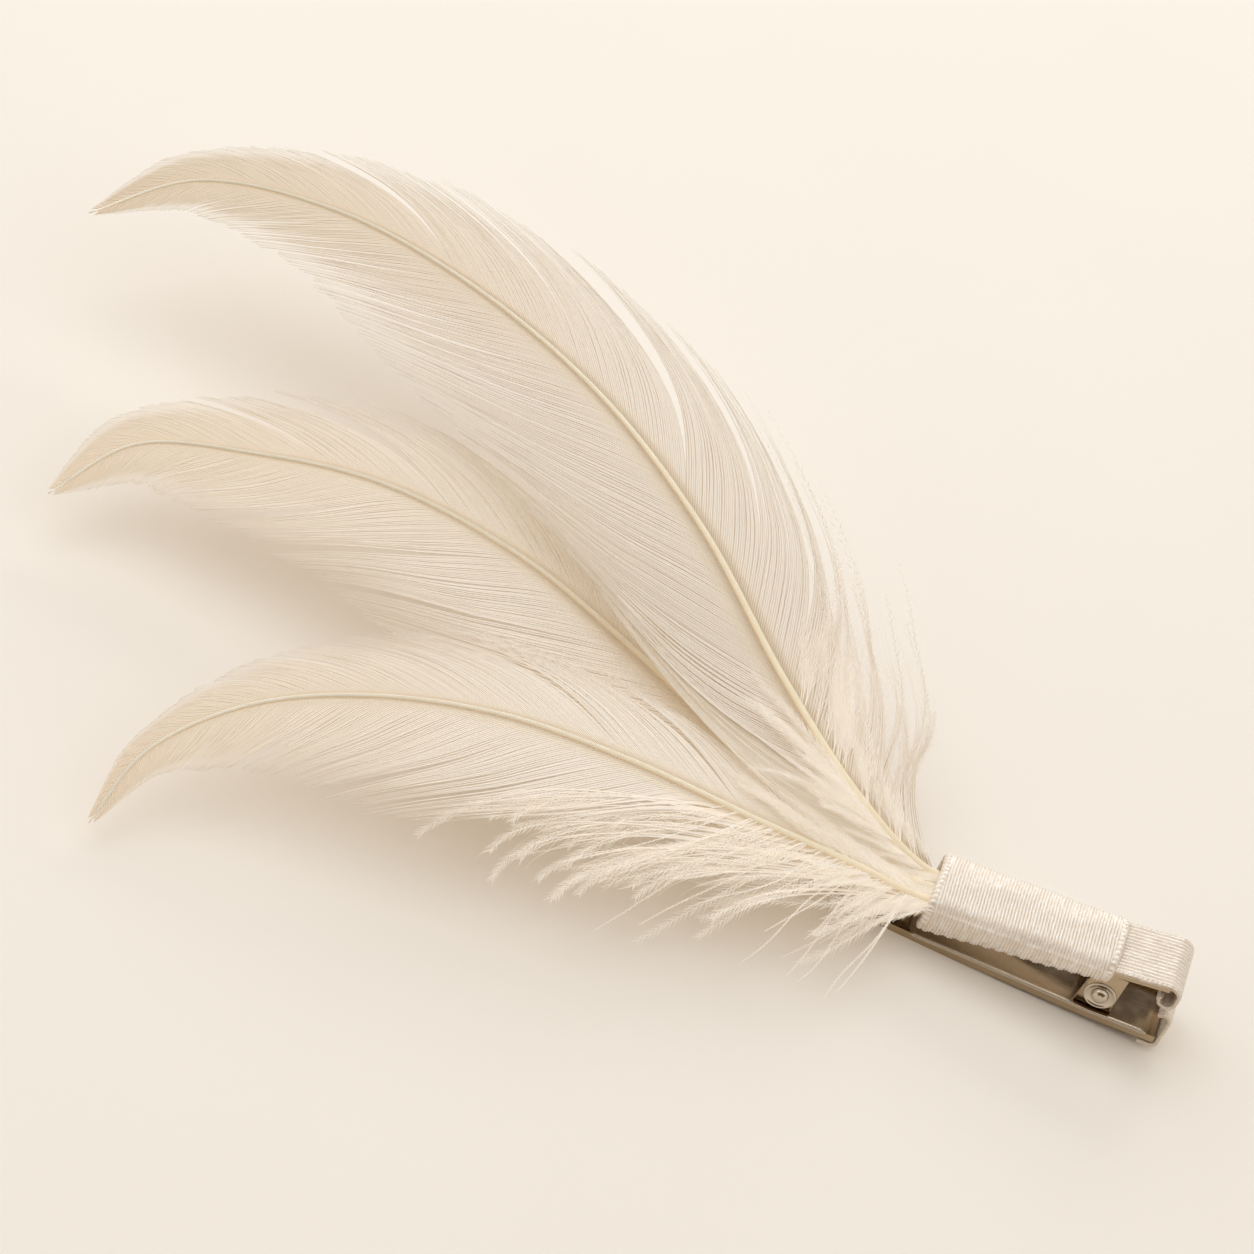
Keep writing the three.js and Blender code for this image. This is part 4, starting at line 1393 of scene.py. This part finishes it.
class ClipMetal:
    """The sheet-metal jaws, the pin and the spring."""

    def _rounded(self, node: str, width: float) -> bpy.types.Object:
        """Copies a CAD node with its doubles merged and its sharp edges rounded.

        Args:
            node: the node's name.
            width: how wide the rounding is, in millimetres.

        Returns:
            The copy.
        """
        mesh = bpy.data.objects[node].data.copy()
        work = bmesh.new()
        work.from_mesh(mesh)
        bmesh.ops.remove_doubles(work, verts=work.verts, dist=1e-6)
        bmesh.ops.dissolve_limit(work, angle_limit=0.01, verts=work.verts, edges=work.edges)
        work.to_mesh(mesh)
        work.free()
        piece = bpy.data.objects.new(node + "_metal", mesh)
        bpy.context.scene.collection.objects.link(piece)
        bevel = piece.modifiers.new("edges", "BEVEL")
        bevel.width = width * MM
        bevel.segments = 3
        bevel.limit_method = "ANGLE"
        bevel.angle_limit = math.radians(35)
        shade_smooth(piece)
        piece.modifiers.new("smooth_normals", "WEIGHTED_NORMAL")
        return piece

    def build(self) -> None:
        """Dresses the metal pieces."""
        plate = NickelFinish("nickel_plate").build()
        bright = NickelFinish("nickel_pin", (214, 202, 184), 0.16).build()
        wire = NickelFinish("spring_wire", (170, 164, 156), 0.3).build()
        settle(self._rounded("lower_jaw", 0.27), LOWER_BODY, "clip_metal", plate, "lower_jaw")
        settle(self._rounded("upper_jaw", 0.16), UPPER_BODY, "clip_metal", plate, "upper_jaw")
        settle(PivotBoss().build(), UPPER_BODY, "clip_metal", bright)
        # the rolled rims take the paler nickel of the pin, so they read as a bright line along the jaw:
        # painted highlight
        settle(JawRims().build(), LOWER_BODY, "clip_metal", bright)
        for node, finish in (("hinge_pin", bright), ("torsion_spring", wire)):
            made = bpy.data.objects[node]
            made.data.materials.clear()
            made.data.materials.append(finish)
            log.info("%s: finished", node)


class Studio:
    """The pale table, the soft key light from the upper left, and two cards that shade the room."""

    TABLE_REACH = 1.6
    CARD_REACH = 1.3

    def _board(self, name: str, corners: list[Triple], bench: Bench, inputs: dict) -> None:
        """Makes a flat board that isn't part of the object.

        Args:
            name: the board's name.
            corners: its four corners, in metres.
            bench: its material.
            inputs: what its surface is like.
        """
        board = make_piece(name, np.array(corners), np.array([[0, 1, 2, 3]]), rounded=False)
        board.data.materials.append(bench.close(bench.surface(inputs)))

    def table(self) -> None:
        """Makes the floor, warm and pale, just under the clip."""
        bench = Bench("pale_table")
        base = bench.blend(bench.noise(14.0, 5.0), (246, 240, 231), (250, 245, 237))
        r = self.TABLE_REACH
        corners = [(-r, -r, 0), (r, -r, 0), (r, r, 0), (-r, r, 0)]
        self._board("table", corners, bench, {"Base Color": base, "Roughness": 0.75})

    def card(self, name: str, far: float, low: float, high: float, tone: Triple) -> None:
        """Makes an upright card.

        Args:
            name: the card's name.
            far: where it stands along Y, in metres.
            low: the height of its lower edge.
            high: the height of its upper edge.
            tone: its colour.
        """
        r = self.CARD_REACH
        corners = [(-r, far, low), (r, far, low), (r, far, high), (-r, far, high)]
        self._board(name, corners, Bench(name), {"Base Color": paint(*tone), "Roughness": 0.9})

    def light(self, name: str, place: Triple, aim: Triple, size: float, power: float, tone: Triple) -> None:
        """Adds a square area light.

        Args:
            name: the light's name.
            place: where it stands, in metres.
            aim: what it points at.
            size: the side of the square.
            power: watts.
            tone: its colour, from 0 to 1.
        """
        data = bpy.data.lights.new(name, "AREA")
        data.size = size
        data.energy = power
        data.color = tone
        lamp = bpy.data.objects.new(name, data)
        lamp.location = place
        lamp.rotation_euler = (Vector(aim) - Vector(place)).to_track_quat("-Z", "Y").to_euler()
        bpy.context.scene.collection.objects.link(lamp)

    def build(self) -> None:
        """Sets the table, the lights and the surroundings."""
        self.table()
        self.card("far_card", 1.5, 1.0, 2.1, (70, 52, 34))
        self.card("near_card", -1.2, 0.05, 1.3, (120, 98, 74))
        self.light("key", (-0.62, 0.42, 0.72), (-0.04, 0.0, 0.0), 1.4, 4.7, (0.9, 0.95, 1.0))
        self.light("fill", (0.0, 1.05, 0.5), (-0.02, 0.0, 0.0), 0.4, 1.8, (1.0, 0.98, 0.96))
        world = bpy.data.worlds.new("soft_room")
        world.use_nodes = True
        sky = world.node_tree.nodes["Background"]
        sky.inputs["Color"].default_value = (1.0, 0.95, 0.885, 1.0)
        sky.inputs["Strength"].default_value = 0.88
        bpy.context.scene.world = world
        bpy.context.scene.view_settings.view_transform = "Standard"


def main() -> None:
    """Builds the scene in order: camera, studio, metal, ribbons, feathers."""
    logging.basicConfig(level=logging.INFO, format="%(name)s: %(message)s")
    PhotoCamera().build()
    Studio().build()
    ClipMetal().build()
    Ribbons().build()
    vane = BarbFinish("vane_barbs", (254, 251, 247), (244, 233, 217), (248, 232, 204)).build()
    # a lit copy of the vane barbs for the middle and lower feathers: painted light, in paler colours and with
    # more glow
    pale = BarbFinish("pale_barbs", (255, 254, 251), (249, 240, 227), (250, 236, 212), glow=0.25).build()
    soft = {"through": 0.25, "roughness": 0.6, "glow": 0.24}
    down = BarbFinish("down_barbs", (255, 254, 250), (246, 234, 214), (252, 242, 226), **soft).build()
    horn = ShaftFinish().build()
    for plan in (UPPER, MIDDLE, LOWER):
        Feather(plan, vane if plan is UPPER else pale, down, horn, WISPS[plan.name]).build()


if __name__ == "__main__":
    main()
